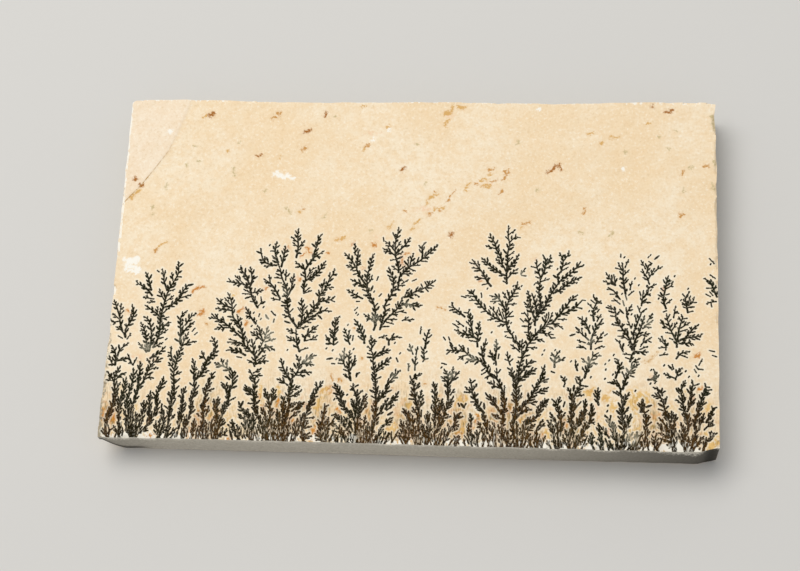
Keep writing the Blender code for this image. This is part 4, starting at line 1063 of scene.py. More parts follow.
# Soft stains round the roots, by colour: place, half width, half height and strength of each
SOFT_STAINS = {
    "peach": """
    -39.2,-25.0,0.6,0.9,0.7 -37.8,-25.1,0.5,0.6,0.8 -28.4,-26.5,0.7,0.9,0.7 -18.6,-1.9,0.6,0.3,0.7
    -21.0,3.0,0.6,0.4,0.5 -16.8,3.2,0.5,0.4,0.6 -1.6,1.5,0.3,1.3,0.5 5.6,-22.8,0.6,0.7,0.7
    7.2,-24.5,0.7,1.2,1.0 19.3,-27.3,0.6,0.8,0.8 10.7,-1.7,0.6,0.5,0.5 39.3,-23.2,0.6,0.9,0.8
    41.7,-24.8,0.5,0.7,0.8 44.2,-24.0,0.5,0.7,0.8 -26.3,-9.6,0.5,0.4,0.4 -26.6,-2.9,0.5,0.4,0.5
    -23.8,-3.8,0.6,0.3,0.5 -43.5,-15.6,1.2,0.5,0.5 -40.8,-15.8,0.9,0.5,0.6 -36.0,-24.9,0.5,0.7,0.6
    1.6,10.0,2.4,1.0,0.35 -5.5,5.0,1.6,1.0,0.3 11.0,14.6,2.6,0.9,0.35 4.6,26.6,1.6,1.2,0.3
    22.0,17.3,1.2,0.7,0.35 -7.5,23.3,2.2,0.7,0.3 -12.0,4.8,1.0,0.5,0.4 -27.3,-7.6,0.7,0.4,0.5
    -11.9,-20.3,0.7,0.7,0.6 -7.5,-26.5,0.7,0.9,0.9 -9.4,-22.9,0.6,0.8,0.8 6.4,-24.5,1.0,2.0,0.6
    18.8,-27.7,0.6,0.7,0.9 28.8,-23.0,1.3,1.9,0.6 -12.9,-20.4,0.9,0.7,0.5 -46.0,-26.6,0.5,0.6,0.9
    """,
    "yellow": """
    -46.1,-24.3,0.7,0.9,0.8 -45.4,-21.0,0.6,1.0,0.8 -28.8,-5.0,0.9,0.9,0.4 -25.2,-27.8,0.8,0.7,0.9
    -14.0,-22.0,0.6,0.9,0.8 -2.4,-27.2,1.3,1.5,1.0 0.4,-22.3,0.7,0.9,0.8 5.3,-27.0,0.6,1.1,0.9
    8.7,-21.5,0.7,1.0,0.5 14.5,-21.5,0.6,1.0,0.4 20.7,-24.4,0.6,0.9,0.8 28.5,-19.8,0.9,0.5,0.7
    30.7,-20.8,0.6,0.5,0.7 46.8,-27.7,1.0,0.9,1.0 46.3,-22.0,0.7,0.8,0.8 37.0,-21.0,1.0,1.0,0.5
    11.6,-24.7,0.6,1.0,0.8 21.9,-27.2,0.6,1.0,0.8 -42.9,-24.2,0.5,0.8,0.6 -46.0,12.6,1.0,0.8,0.4
    -35.0,-26.4,0.6,1.2,0.6 -19.0,-25.0,0.8,1.6,0.5 -8.8,-25.2,0.8,1.6,0.5 17.8,-25.3,0.7,1.4,0.5
    31.8,-22.2,0.8,1.2,0.4 34.8,-26.4,0.6,1.4,0.6 40.2,-22.0,0.7,1.0,0.4 -30.8,-25.0,0.6,1.5,0.5
    -23.3,-21.5,0.5,1.6,0.9 -20.4,-21.3,0.5,1.2,0.9 -14.5,-22.5,0.9,0.9,0.7 -12.9,-20.4,1.0,0.7,0.5
    -10.2,-27.0,0.6,0.9,0.9 -3.1,-27.9,0.9,1.3,1.1 4.9,-21.2,0.5,0.8,0.7 4.3,-27.2,0.5,0.9,0.9
    8.4,-27.5,0.8,1.3,0.9 8.2,-22.0,0.7,0.8,0.7 19.1,-26.5,0.5,0.8,0.9 28.6,-20.0,1.2,0.7,0.7
    35.3,-21.0,1.7,1.8,0.7 46.2,-22.3,0.7,0.9,0.7 47.1,-28.2,1.0,0.9,0.9 -44.9,-24.7,0.5,0.9,0.8
    -29.7,-25.0,0.5,0.8,0.8 -28.6,-26.9,0.7,0.9,0.9 -26.0,-28.6,0.7,0.8,1.0 -44.2,-28.4,0.9,0.5,0.5
    33.4,-28.0,0.5,1.1,0.9 37.0,-25.8,0.6,1.0,0.7 43.0,-20.0,0.8,0.8,0.5 26.5,-27.4,0.6,1.0,0.7
    """,
    "orange": """
    -47.4,-25.2,0.8,1.2,1.4 -46.4,-25.5,0.5,1.0,1.1 -40.5,-25.8,0.4,0.8,0.8 -39.7,-28.4,0.5,0.3,0.9
    -34.0,-27.2,0.4,1.0,0.9 -32.6,-27.3,0.5,1.3,1.1 -32.7,-24.6,0.4,0.5,0.7 -29.7,-24.4,0.4,0.5,0.7
    -22.4,-23.4,0.4,0.7,0.8 -20.4,-22.5,0.4,0.7,0.9 -20.6,-24.3,0.4,0.6,0.8 -17.9,-25.6,0.5,0.7,0.8
    -15.9,-23.0,0.4,0.6,0.8 -13.7,-27.3,0.5,0.8,0.9 -10.7,-23.8,0.4,0.7,0.9 -9.2,-27.3,0.5,0.7,0.9
    -7.0,-26.2,0.5,0.7,0.9 -0.9,-27.9,0.5,0.6,0.7 1.9,-26.5,0.4,0.7,0.9 5.4,-24.0,0.3,0.7,0.8
    8.1,-27.4,0.3,0.9,0.5 16.0,-22.9,0.5,0.8,1.0 24.6,-25.3,0.3,0.8,0.9 45.3,-19.0,0.4,0.5,1.0
    39.4,-28.2,0.5,0.5,1.1 31.4,-26.2,0.4,0.7,0.9 -5.2,-22.4,0.3,0.5,0.8 0.9,-27.5,0.4,0.6,0.8
    13.2,-27.4,0.4,0.7,0.7 -27.5,-28.7,0.5,0.6,0.9 20.4,-27.9,0.4,0.5,0.7 44.0,-27.9,0.4,0.4,0.6
    -23.3,-22.0,0.3,1.2,0.5 -18.4,-25.7,0.5,0.9,0.9 -14.3,-27.0,0.5,0.8,0.9 -10.2,-27.0,0.4,0.7,0.6
    -7.5,-25.5,0.5,0.8,0.9 -3.0,-28.3,0.6,0.6,0.8 0.3,-27.4,0.6,0.8,0.8 11.0,-24.7,0.4,0.8,0.9
    10.1,-25.9,0.4,0.7,0.8 21.2,-27.3,0.4,0.8,0.8 24.1,-25.0,0.5,1.2,0.9 35.3,-21.4,0.7,0.8,0.2
    41.3,-25.1,0.4,0.8,0.7 43.9,-24.4,0.3,0.5,0.8 44.1,-20.6,0.4,0.5,0.8 -23.8,-28.6,0.6,0.9,1.1
    -34.3,-28.2,0.6,0.9,0.8 -40.3,-28.7,0.5,0.4,0.8 -32.9,-25.3,0.4,0.7,0.8 4.3,-27.2,0.4,0.6,0.5
    """,
    "slits": """
    -23.5,-28.4,0.9,0.7,0.9 -20.4,-28.3,1.2,0.7,0.7 -7.6,-28.0,2.0,1.0,1.0 -4.5,-28.6,0.8,0.5,1.0
    2.0,-28.3,1.2,0.8,1.0 12.4,-28.5,2.2,0.5,0.8 13.9,-27.6,0.6,1.4,1.2 22.0,-28.4,1.3,0.6,0.8
    35.0,-27.6,1.4,1.3,0.9 41.9,-28.2,1.8,1.0,1.2 -44.9,-28.5,1.2,0.5,0.8 -36.0,-28.7,2.5,0.4,0.6
    """,
    "crushed": """
    42.3,-28.4,2.3,1.0,1.1 44.7,-28.9,1.2,0.5,0.9 -46.0,-28.8,1.1,0.5,0.5
    """,
    "faded": """
    -42.0,-14.0,1.6,1.0,0.9 -36.5,-12.5,1.0,0.8,0.8 -29.3,-17.0,1.3,0.9,0.9 -22.5,-12.0,1.3,2.2,0.9
    -16.0,-15.5,1.4,1.0,0.9 -11.0,-14.5,1.8,1.8,0.7 -5.8,-8.7,1.0,1.2,0.8 0.4,-13.5,0.9,0.9,0.8
    0.4,-16.5,0.9,0.9,0.8 -2.2,-18.0,0.8,0.9,0.7 6.7,-17.5,1.2,1.0,0.7 9.6,-14.8,1.3,0.8,0.8
    13.6,-12.3,0.8,1.2,0.7 22.8,-15.0,1.2,1.3,0.8 13.5,-5.2,1.2,1.0,0.7 -20.4,-4.3,0.9,1.0,0.7
    -23.1,-8.8,1.5,0.9,0.9
    -0.5,-6.2,1.1,1.0,0.7 17.3,-0.6,0.8,0.7,0.9 28.3,-11.5,1.1,1.0,0.7 28.0,-15.0,1.2,1.0,0.8
    34.3,-16.0,1.1,1.0,0.8 31.7,-25.3,1.0,1.3,0.7 35.0,-27.0,0.9,1.2,0.7 33.8,-5.0,1.0,1.2,0.8
    37.3,-8.5,1.0,1.2,0.8 -29.0,-9.0,1.0,1.0,0.5 30.5,-14.5,1.2,2.0,0.6 38.0,-17.2,1.0,1.2,0.7
    34.8,-26.8,1.1,1.3,0.8 44.3,-15.9,1.0,0.8,0.6 -40.8,-9.5,0.9,1.5,0.4 24.5,-8.0,1.0,1.0,0.4
    -4.0,-12.5,0.9,0.9,0.5
    """,
}
ROOT_YELLOW = 0.30
LEDGE_FOOT_LINE = 0.62
SLITS_FRESH = 0.35

# How far down the sides the stains and the slits reach, and what stands in the fields where a
# place's depth, height or distance isn't measured
STAINED_DROP = 5.0
SLITS_DROP = 0.4
UNMEASURED = 9.0

# How brown the stain is along the front everywhere, at the brown roots, in patches and where the
# stone is orange, and the brown roots: place along the front arris and half width of each
BROWN_RISE = (-15.0, -27.5)
BROWN_ALL, BROWN_AT_ROOTS, BROWN_PATCHES, BROWN_AT_ORANGE = 0.16, 0.84, 0.22, 0.5
BROWN_WAVES = (5.0, 8, 51)
BROWN_ROOTS = """
    -47.0,1.2 -31.5,2.4 -19.5,3.4 -13.0,1.6 -6.0,1.4 0.5,2.4 5.2,1.2 8.0,1.5 13.8,2.6 18.0,2.8
    25.8,2.0 38.0,2.6 44.2,1.5
    """

# How white each upper arris is: rubbed white on the front one, and on the left and back ones,
# which face the lamp, partly wear and partly a painted highlight; and the waves of its patches
ARRIS_WEAR_AND_HIGHLIGHT = {"front": 0.82, "left": 0.75, "back": 0.30}
WORN_WAVES = (3.2, 8, 53)

# White crushed stone in the chips: their width and reach, as shares of the chip's own, how white
# the front and left ones are, the left ones partly as a painted highlight, at what depth, and how
# far down the side it goes
FRESH_WIDER, FRESH_FARTHER = 0.9, 1.6
FRESH_CHIP, LEFT_CHIP_WHITE_AND_HIGHLIGHT = 0.80, 0.7
FRESH_DEPTH = 0.30
FRESH_DOWN = 1.5

# Painted shade on the front side: its brightness along its length, how much lighter it is under
# its arris and along its low one, and how much darker a painted shadow makes it in the broken
# corner's line
FRONT_PAINTED_SHADE = (
    (-48.0, 0.62), (-44.0, 0.74), (-38.0, 0.95), (-20.0, 1.00), (0.0, 1.00), (10.0, 0.93),
    (20.0, 0.84), (30.0, 0.62), (38.0, 0.41), (44.0, 0.29), (45.8, 0.22), (46.8, 0.09),
)
UPPER_LIGHT = 0.10
LOWER_LIGHT = 0.22
BREAK_PAINTED_SHADOW = 0.8

# How the stroke fields are stored: nearest strokes for each cell, in searches over square tiles,
# and a place far off every stroke for all that isn't the face
NEAREST = 4
TILE = 3.0
TILE_CHOICE = 420
OFF_STROKES = (60.0, 0.0, 0.0, 0.0)

# The baked map: its scale for each millimetre, the lowest left corners of the face and the
# underside, and for each side what it runs along, its scale and its lowest left corner
MAP_EDGE = 0.45
MAP_SCALE = 0.0102
MAP_FACE = (0.005, 0.400)
MAP_UNDER = (0.005, 0.006)
MAP_STRIPS = (
    (0, 1.0, 0.005, 0.312), (1, 0.8, 0.510, 0.006), (0, 0.5, 0.505, 0.098), (1, 0.8, 0.510, 0.190),
)


def stroke_frame(points, strokes):
    """Each point's place beside its stroke: how far off its line, how far before its start,
    how far past its end, and the stroke's radius there. All four are linear in x and y, so
    they stay exact between a cell's corners."""
    start, end = strokes[..., 0:2], strokes[..., 2:4]
    run = end - start
    length = np.linalg.norm(run, axis=-1)
    way = run / np.maximum(length, 1e-6)[..., None]
    rel = points - start
    along = rel[..., 0] * way[..., 0] + rel[..., 1] * way[..., 1]
    off = way[..., 0] * rel[..., 1] - way[..., 1] * rel[..., 0]
    slope = (strokes[..., 5] - strokes[..., 4]) / np.maximum(length, 1e-6)
    return np.stack([off, -along, along - length, strokes[..., 4] + slope * along], axis=-1)


def stroke_gap(place):
    """Distance to a stroke's edge: to its line where the point is beside it, to the nearer
    end where it is past one, less the radius, which is held at its end values."""
    past = np.maximum(np.maximum(place[..., 1], place[..., 2]), 0.0)
    return np.hypot(place[..., 0], past) - place[..., 3]


def nearest_strokes(centres, strokes, count):
    """For each centre, the numbers of the count strokes whose edges lie nearest."""
    middles = (strokes[:, 0:2] + strokes[:, 2:4]) / 2.0
    tile = np.floor(centres / TILE).astype(int)
    order = np.lexsort(tile.T)
    splits = np.flatnonzero(np.any(np.diff(tile[order], axis=0), axis=1)) + 1
    found = np.zeros((len(centres), count), int)
    for members in np.split(order, splits):
        around = np.linalg.norm(middles - centres[members].mean(axis=0), axis=1)
        pick = np.argsort(around)[: min(TILE_CHOICE, len(strokes))]
        gap = stroke_gap(stroke_frame(centres[members][:, None], strokes[pick][None]))
        found[members] = pick[np.argsort(gap, axis=1)[:, :count]]
    return found


def blobs(x, y, table):
    """Sum of soft blobs: each one's strength times exp(-r²), where r is the distance from its
    middle as a share of its half width and half height."""
    total = np.zeros(x.shape)
    for blob in table.split():
        place_x, place_y, half_width, half_height, strength = map(float, blob.split(","))
        r2 = ((x - place_x) / half_width) ** 2 + ((y - place_y) / half_height) ** 2
        total += strength * np.exp(-r2)
    return total


def brownness(x, y):
    """How brown the stain is: it rises smoothly towards the front, more so about the brown
    roots, each a bell curve along x of its own half width, and where the stone is orange."""
    bells = np.zeros(x.shape)
    for root in BROWN_ROOTS.split():
        place, half_width = map(float, root.split(","))
        bells += np.exp(-(((x - place) / half_width) ** 2))
    patches = 0.5 + 0.5 * waves(x, y, *BROWN_WAVES)
    low = BROWN_ALL + BROWN_AT_ROOTS * np.minimum(bells, 1.0) + BROWN_PATCHES * patches
    rusty = BROWN_AT_ORANGE * blobs(x, y, SOFT_STAINS["orange"])
    return np.clip(smooth_step(*BROWN_RISE, y) * low + rusty, 0.0, 1.0)


def white_wear_and_highlight(x, y, below):
    """How much white crushed stone and painted highlight shows: it rises with the depth of the
    front chips, drawn a little farther into the face, and of the left ones towards the back, where
    it is partly a painted highlight. It is partly there along the rubbed arrises, in patches on the
    front one, and on the left and back ones partly as a painted highlight, and all there in the
    crushed patches. It fades out down the side, farther down where the stone is crushed."""
    rng = np.random.default_rng(CHIP_SEED)
    random_chips(SIDE_CHIPS["back"], HALF[0], rng)
    left = random_chips(SIDE_CHIPS["left"], HALF[1], rng)
    front = [
        (place, width * FRESH_WIDER, reach * FRESH_FARTHER, depth)
        for place, width, reach, depth in FRONT_CHIPS
    ]
    # towards the back the left chips' white is partly a painted highlight
    left_depth = chip_depth(y, x + HALF[0], left) * LEFT_CHIP_WHITE_AND_HIGHLIGHT * smooth_step(-14.0, -4.0, y)
    depth = np.maximum(chip_depth(x, y + HALF[1], front), left_depth)
    patches = 0.62 + 0.38 * waves(x, y, *WORN_WAVES)
    # the left and back arrises' white is partly a painted highlight, on the sides facing the lamp
    wear_and_highlight = np.maximum.reduce(
        [
            ARRIS_WEAR_AND_HIGHLIGHT["front"] * patches * smooth_step(1.9, 0.1, y + HALF[1]),
            ARRIS_WEAR_AND_HIGHLIGHT["left"] * smooth_step(0.38, 0.14, x + HALF[0]) * smooth_step(-4.0, 6.0, y),
            ARRIS_WEAR_AND_HIGHLIGHT["back"] * smooth_step(0.40, 0.10, HALF[1] - y),
        ]
    )
    white_and_highlight = np.maximum(FRESH_CHIP * smooth_step(0.0, FRESH_DEPTH, depth), wear_and_highlight)
    crushed = blobs(x, y, SOFT_STAINS["crushed"])
    down = FRESH_DOWN * (1.0 + crushed)
    return np.maximum(white_and_highlight, crushed) * np.clip(1.0 - below / down, 0.0, 1.0)


def side_crumble_and_painted_shade(x, y, below, above_rim):
    """Brightness of the sawn sides, with painted shade: the front one follows FRONT_PAINTED_SHADE
    and is lighter under its arris and, but for its right end, along its low one. The others stay
    even.
    A painted shadow runs as a dark line along the low edge of the broken corner."""
    in_front = smooth_step(1.5, 0.5, y + HALF[1])
    # painted shade: the front side darkens along its length as FRONT_PAINTED_SHADE gives
    shade = 1.0 + (np.interp(x, *np.transpose(FRONT_PAINTED_SHADE)) - 1.0) * in_front
    # a painted shadow along the low edge of the broken corner
    painted_shadow_line = smooth_step(-40.5, -43.5, x) * smooth_step(1.4, 0.6, above_rim) * in_front
    crumbly = UPPER_LIGHT * smooth_step(1.5, 0.3, below) * in_front
    low_line = smooth_step(1.1, 0.3, above_rim) * smooth_step(26.0, 8.0, x) * in_front
    lighter = 1.0 + crumbly + LOWER_LIGHT * low_line
    return shade * lighter * (1.0 - BREAK_PAINTED_SHADOW * painted_shadow_line)


def edge_to_edge(length, cells):
    """Shares of the grid's lines: the close lines at both ends and even cells between them."""
    first = np.array((0.0,) + EDGE_LINES)
    inner = np.linspace(first[-1], length - first[-1], cells - 2 * len(EDGE_LINES) + 1)
    return np.concatenate([first, inner[1:-1], length - first[::-1]]) / length


def face_grid():
    """Places of the cleft face, the outline's grid at the height of upper_face, with a number
    for each, and its faces."""
    u = edge_to_edge(PLATE_WIDTH, CELLS_ACROSS)
    v = edge_to_edge(PLATE_DEPTH, CELLS_DEEP)
    x, y = outline(*np.meshgrid(u, v, indexing="ij"))
    number = np.arange(x.size).reshape(x.shape)
    quads = [number[:-1, :-1], number[1:, :-1], number[1:, 1:], number[:-1, 1:]]
    top = np.stack([x, y, upper_face(x, y)], axis=-1)
    return top, number, np.stack(quads, axis=-1).reshape(-1, 4)


def underside_faces(below):
    """Faces of the underside, each turned to face down. A face is a cell of the coarse grid,
    with all those vertices on its edges that the table below has a number for."""
    faces = []
    step = UNDERSIDE_STEP
    for i in range(0, CELLS_ACROSS, step):
        for j in range(0, CELLS_DEEP, step):
            left = below[i, j : j + step]
            back = below[i : i + step, j + step]
            right = below[i + step, j + step : j : -1]
            front = below[i + step : i : -1, j]
            loop = np.concatenate([left, back, right, front])
            faces.append([int(k) for k in loop if k >= 0])
    return faces


def plate_grid():
    """Corner places of the whole plate, its faces, and for each place how far it lies below the
    upper arris and above the rim of the underside.

    The walls run down the face's rim in rows, each at an even share of the height between the
    face and the underside. The underside is one line in four of the face's grid, and its outer
    cells take in every vertex of the rim, so the surface is closed."""
    top, number, face_quads = face_grid()
    rim = np.concatenate([number[:-1, 0], number[-1, :-1], number[:0:-1, -1], number[0, :0:-1]])
    rim_x, rim_y, rim_top = top.reshape(-1, 3)[rim].T
    rim_low = underside(rim_x, rim_y)
    shares = np.array((0.0,) + WALL_ROWS[:-1])[:, None]
    level = rim_low + (rim_top - rim_low) * shares
    walls = np.stack(np.broadcast_arrays(rim_x, rim_y, level), axis=-1)
    ring = number.size + np.arange(level.size).reshape(level.shape)
    low, high = ring, np.vstack([ring[1:], rim])
    wall_quads = np.stack([low, np.roll(low, -1, axis=1), np.roll(high, -1, axis=1), high], axis=-1)

    coarse = (slice(UNDERSIDE_STEP, -UNDERSIDE_STEP, UNDERSIDE_STEP),) * 2
    x, y = top[coarse][..., 0], top[coarse][..., 1]
    inner = np.stack([x, y, underside(x, y)], axis=-1)
    below = np.full(number.shape, -1)
    below.reshape(-1)[rim] = ring[0]
    below[coarse] = number.size + level.size + np.arange(x.size).reshape(x.shape)

    places = np.vstack([part.reshape(-1, 3) for part in (top, walls, inner)])
    under = np.full(x.size, UNMEASURED)
    drop = np.concatenate([np.zeros(number.size), (rim_top - level).ravel(), under])
    on_top = np.full(number.size, UNMEASURED)
    above_rim = np.concatenate([on_top, (level - rim_low).ravel(), under])
    return places, face_quads, wall_quads.reshape(-1, 4), underside_faces(below), drop, above_rim


def linear(hex_colour):
    """An sRGB hex colour as linear RGBA."""
    srgb = [int(hex_colour[k : k + 2], 16) / 255.0 for k in (1, 3, 5)]
    return [c / 12.92 if c <= 0.04045 else ((c + 0.055) / 1.055) ** 2.4 for c in srgb] + [1.0]


def add(tree, kind, inputs=(), **settings):
    """Adds a node, sets it up, and gives its sockets a value or another node's output."""
    made = tree.nodes.new("ShaderNode" + kind)
    for name, value in settings.items():
        setattr(made, name, value)
    for key, value in dict(inputs).items():
        if isinstance(value, bpy.types.NodeSocket):
            tree.links.new(value, made.inputs[key])
        else:
            made.inputs[key].default_value = value
    return made


def mix(tree, share, under, over, blend="MIX"):
    """The second colour laid over the first by this share."""
    made = add(tree, "Mix", {0: share, 6: under, 7: over}, data_type="RGBA", blend_type=blend)
    return made.outputs[2]


def reading(tree, value, low, high, to_low=0.0, to_high=1.0):
    """A smooth ramp of a value from one range to another."""
    made = add(
        tree,
        "MapRange",
        {0: value, 1: low, 2: high, 3: to_low, 4: to_high},
        interpolation_type="SMOOTHSTEP",
    )
    return made.outputs[0]


def gap_to_stroke(tree, name, bend=(0.0, 0.0, 0.0)):
    """Distance in millimetres to the edge of the stroke whose frame this attribute holds. The
    bend is added to the place beside the stroke, to warp it."""
    frame_of = add(tree, "Attribute", attribute_name=name)
    beside = add(tree, "VectorMath", {0: frame_of.outputs["Vector"], 1: bend}, operation="ADD")
    parts = add(tree, "SeparateXYZ", {0: beside.outputs[0]})
    ends = add(tree, "Math", {0: parts.outputs[1], 1: parts.outputs[2]}, operation="MAXIMUM")
    past = add(tree, "Math", {0: ends.outputs[0], 1: 0.0}, operation="MAXIMUM")
    across = add(tree, "CombineXYZ", {0: parts.outputs[0], 1: past.outputs[0]})
    length = add(tree, "VectorMath", {0: across.outputs[0]}, operation="LENGTH")
    gap = add(
        tree,
        "Math",
        {0: length.outputs["Value"], 1: frame_of.outputs["Alpha"]},
        operation="SUBTRACT",
    )
    return gap.outputs[0]


def noise(tree, place, size, detail=2.0, roughness=0.5):
    """Noise whose features are about this many millimetres across."""
    made = add(
        tree,
        "TexNoise",
        {
            "Vector": place,
            "Scale": 1.0 / (size * MM),
            "Detail": detail,
            "Roughness": roughness,
        },
    )
    return made.outputs["Fac"]


def field(tree, name, part):
    """One part of a colour attribute, as a number."""
    whole = add(tree, "Attribute", attribute_name=name)
    return add(tree, "SeparateColor", {0: whole.outputs["Color"]}).outputs[part]


def calc(tree, operation, *values):
    """One sum or other operation on numbers."""
    return add(tree, "Math", dict(enumerate(values)), operation=operation).outputs[0]


def drawn_out(tree, place, share):
    """The place with its y shortened to this share, so that noise read there is long in y."""
    made = add(tree, "VectorMath", {0: place, 1: (1.0, share, 1.0)}, operation="MULTIPLY")
    return made.outputs[0]


def bare_stone(tree, place, grain):
    """Wide soft clouds, a fine mottle and a grain give the bare stone its warm uneven cream. The
    lamina that ends at the ledge is paler."""
    cloud = reading(tree, noise(tree, place, 12.0, 3.0, 0.5), 0.36, 0.66)
    stone = mix(tree, cloud, linear("#f4dbb5"), linear("#f8e6c8"))
    mottle = reading(tree, noise(tree, place, 1.5, 3.0, 0.6), 0.35, 0.68)
    stone = mix(tree, calc(tree, "MULTIPLY", mottle, 0.60), stone, linear("#f1d3a8"))
    past = field(tree, "ledge", 0)
    stone = mix(tree, reading(tree, past, 0.10, -0.10, 0.0, 0.45), stone, linear("#f6e3cc"))
    stone = mix(tree, reading(tree, grain, 0.28, 0.48, 0.45, 0.0), stone, linear("#dcc096"))
    return mix(tree, reading(tree, grain, 0.53, 0.70, 0.0, 0.60), stone, linear("#fff4de"))


def soft_stains(tree, stone, lift):
    """Iron oxide has crept out of the roots as soft peach, yellow and orange stains."""
    for part, shade, most in ((0, "#f2c6a0", 0.70), (1, "#e4b763", 0.80), (2, "#d6852f", 0.95)):
        share = calc(tree, "MULTIPLY", field(tree, "soft", part), lift)
        stone = mix(tree, reading(tree, share, 0.10, 0.65, 0.0, most), stone, linear(shade))
    return stone


def amber_roots(tree, place, stone, brown, streak):
    """Among the roots the stone itself is amber, and streaked olive and rusty."""
    stone = mix(tree, reading(tree, brown, 0.35, 0.95, 0.0, 0.50), stone, linear("#c9974c"))
    haze = calc(tree, "MULTIPLY", brown, reading(tree, streak, 0.46, 0.64))
    stone = mix(tree, calc(tree, "MULTIPLY", haze, 0.70), stone, linear("#6d6138"))
    rusty = calc(tree, "MULTIPLY", brown, reading(tree, noise(tree, place, 1.0, 3.0), 0.52, 0.66))
    return mix(tree, calc(tree, "MULTIPLY", rusty, 0.50), stone, linear("#c9802f"))


def flecks_on(tree, place, stone, torn):
    """Rust flecks, ochre streaks, grey specks and white bruises, each with a ragged edge and a
    faint rim of its colour round it."""
    warp = calc(tree, "MULTIPLY_ADD", noise(tree, place, 0.9, 2.0, 0.6), 1.6, -0.8)
    bend = add(tree, "CombineXYZ", {0: warp, 1: calc(tree, "MULTIPLY", warp, -0.6), 2: warp})
    gap = gap_to_stroke(tree, "fleck", bend.outputs[0])
    edge = calc(tree, "ADD", gap, calc(tree, "MULTIPLY_ADD", torn, -1.0, 0.48))
    colour = add(tree, "Attribute", attribute_name="fleck_colour").outputs["Color"]
    stone = mix(tree, reading(tree, edge, 0.40, 0.0, 0.0, 0.22), stone, colour)
    return mix(tree, reading(tree, edge, 0.17, -0.14, 0.0, 0.95), stone, colour)


def ledge_foot(tree, stone, lift):
    """A thin brown line lies along the ledge's foot."""
    foot = reading(tree, calc(tree, "ABSOLUTE", field(tree, "ledge", 0)), 0.13, 0.02)
    foot = calc(tree, "MULTIPLY", foot, calc(tree, "MULTIPLY", field(tree, "ledge", 1), lift))
    return mix(tree, foot, stone, linear("#b98f55"))


def white_stone_and_highlight(tree, place, stone):
    """Crushed stone shows white, as teeth, between the roots, in the chips and on the rubbed
    arrises; in the left chips and on the left and back arrises this white is partly a painted
    highlight."""
    teeth = noise(tree, drawn_out(tree, place, 0.42), 0.50, 3.0, 0.6)
    white_and_highlight = field(tree, "fade", 2)
    share = calc(tree, "ADD", white_and_highlight, calc(tree, "MULTIPLY_ADD", teeth, 3.4, -1.7))
    share = reading(tree, share, 0.34, 0.70, 0.0, 0.88)
    share = calc(tree, "MULTIPLY", share, reading(tree, white_and_highlight, 0.05, 0.25))
    return mix(tree, share, stone, linear("#fcf6e8"))


def ink_colour(tree, place, brown, streak, faded):
    """Colour of the stain: near black, browner and streaked in the brown roots, tinged green or
    grey in wide patches, and paler where it has faded."""
    black = mix(tree, noise(tree, place, 1.4, 2.0), linear("#0b0a01"), linear("#252206"))
    ink = mix(tree, calc(tree, "MULTIPLY", brown, 0.85), black, linear("#251706"))
    thin = reading(tree, streak, 0.45, 0.60)
    thin = calc(tree, "MULTIPLY", reading(tree, brown, 0.25, 0.85), thin)
    ink = mix(tree, calc(tree, "MULTIPLY", thin, 0.75), ink, linear("#573c14"))
    tint = noise(tree, place, 6.0, 2.0)
    ink = mix(tree, reading(tree, tint, 0.52, 0.66, 0.0, 0.20), ink, linear("#2c3827"))
    ink = mix(tree, reading(tree, tint, 0.46, 0.34, 0.0, 0.16), ink, linear("#37342f"))
    return mix(tree, reading(tree, faded, 0.1, 0.8, 0.0, 0.7), ink, linear("#4c5140"))


def ink_cover(tree, place, streak, faded, wobble):
    """How much of the stone the stain hides: less where it has faded, in a fine speckle, and in
    long slits among the roots."""
    bleached = calc(tree, "MULTIPLY", faded, calc(tree, "MULTIPLY_ADD", wobble, 3.0, -0.6))
    cover = calc(tree, "SUBTRACT", 1.0, reading(tree, bleached, 0.2, 0.9, 0.0, 0.28))
    speckle = noise(tree, place, 0.28, 2.0, 0.7)
    cover = calc(tree, "MULTIPLY", cover, reading(tree, speckle, 0.32, 0.46, 0.82, 1.0))
    roots = field(tree, "ledge", 2)
    slits = reading(tree, calc(tree, "MULTIPLY_ADD", roots, -0.20, streak), 0.305, 0.235)
    slits = calc(tree, "MULTIPLY", reading(tree, roots, 0.0, 0.4), slits)
    return calc(tree, "MULTIPLY", cover, calc(tree, "MULTIPLY_ADD", slits, -0.50, 1.0))


def dendrites(tree, place, stone, brown, streak, ragged):
    """The dendrites: all that lies inside the nearest stroke's edge, which is made a little
    uneven, with a bleached margin outside it."""
    nearest = gap_to_stroke(tree, "limb_0")
    for k in range(1, NEAREST):
        nearest = calc(tree, "MINIMUM", nearest, gap_to_stroke(tree, f"limb_{k}"))
    wobble = noise(tree, place, 0.22, 2.0, 0.6)
    edge = calc(tree, "ADD", nearest, calc(tree, "MULTIPLY_ADD", wobble, -0.20, 0.10))
    stone = mix(tree, reading(tree, edge, 0.36, 0.06, 0.0, 0.44), stone, linear("#f9f3df"))
    uneven = calc(tree, "MULTIPLY_ADD", ragged, 1.4, 0.1)
    faded = calc(tree, "MULTIPLY", field(tree, "fade", 0), uneven)
    cover = ink_cover(tree, place, streak, faded, wobble)
    share = calc(tree, "MULTIPLY", reading(tree, edge, 0.045, -0.05), cover)
    return mix(tree, share, stone, ink_colour(tree, place, brown, streak, faded))


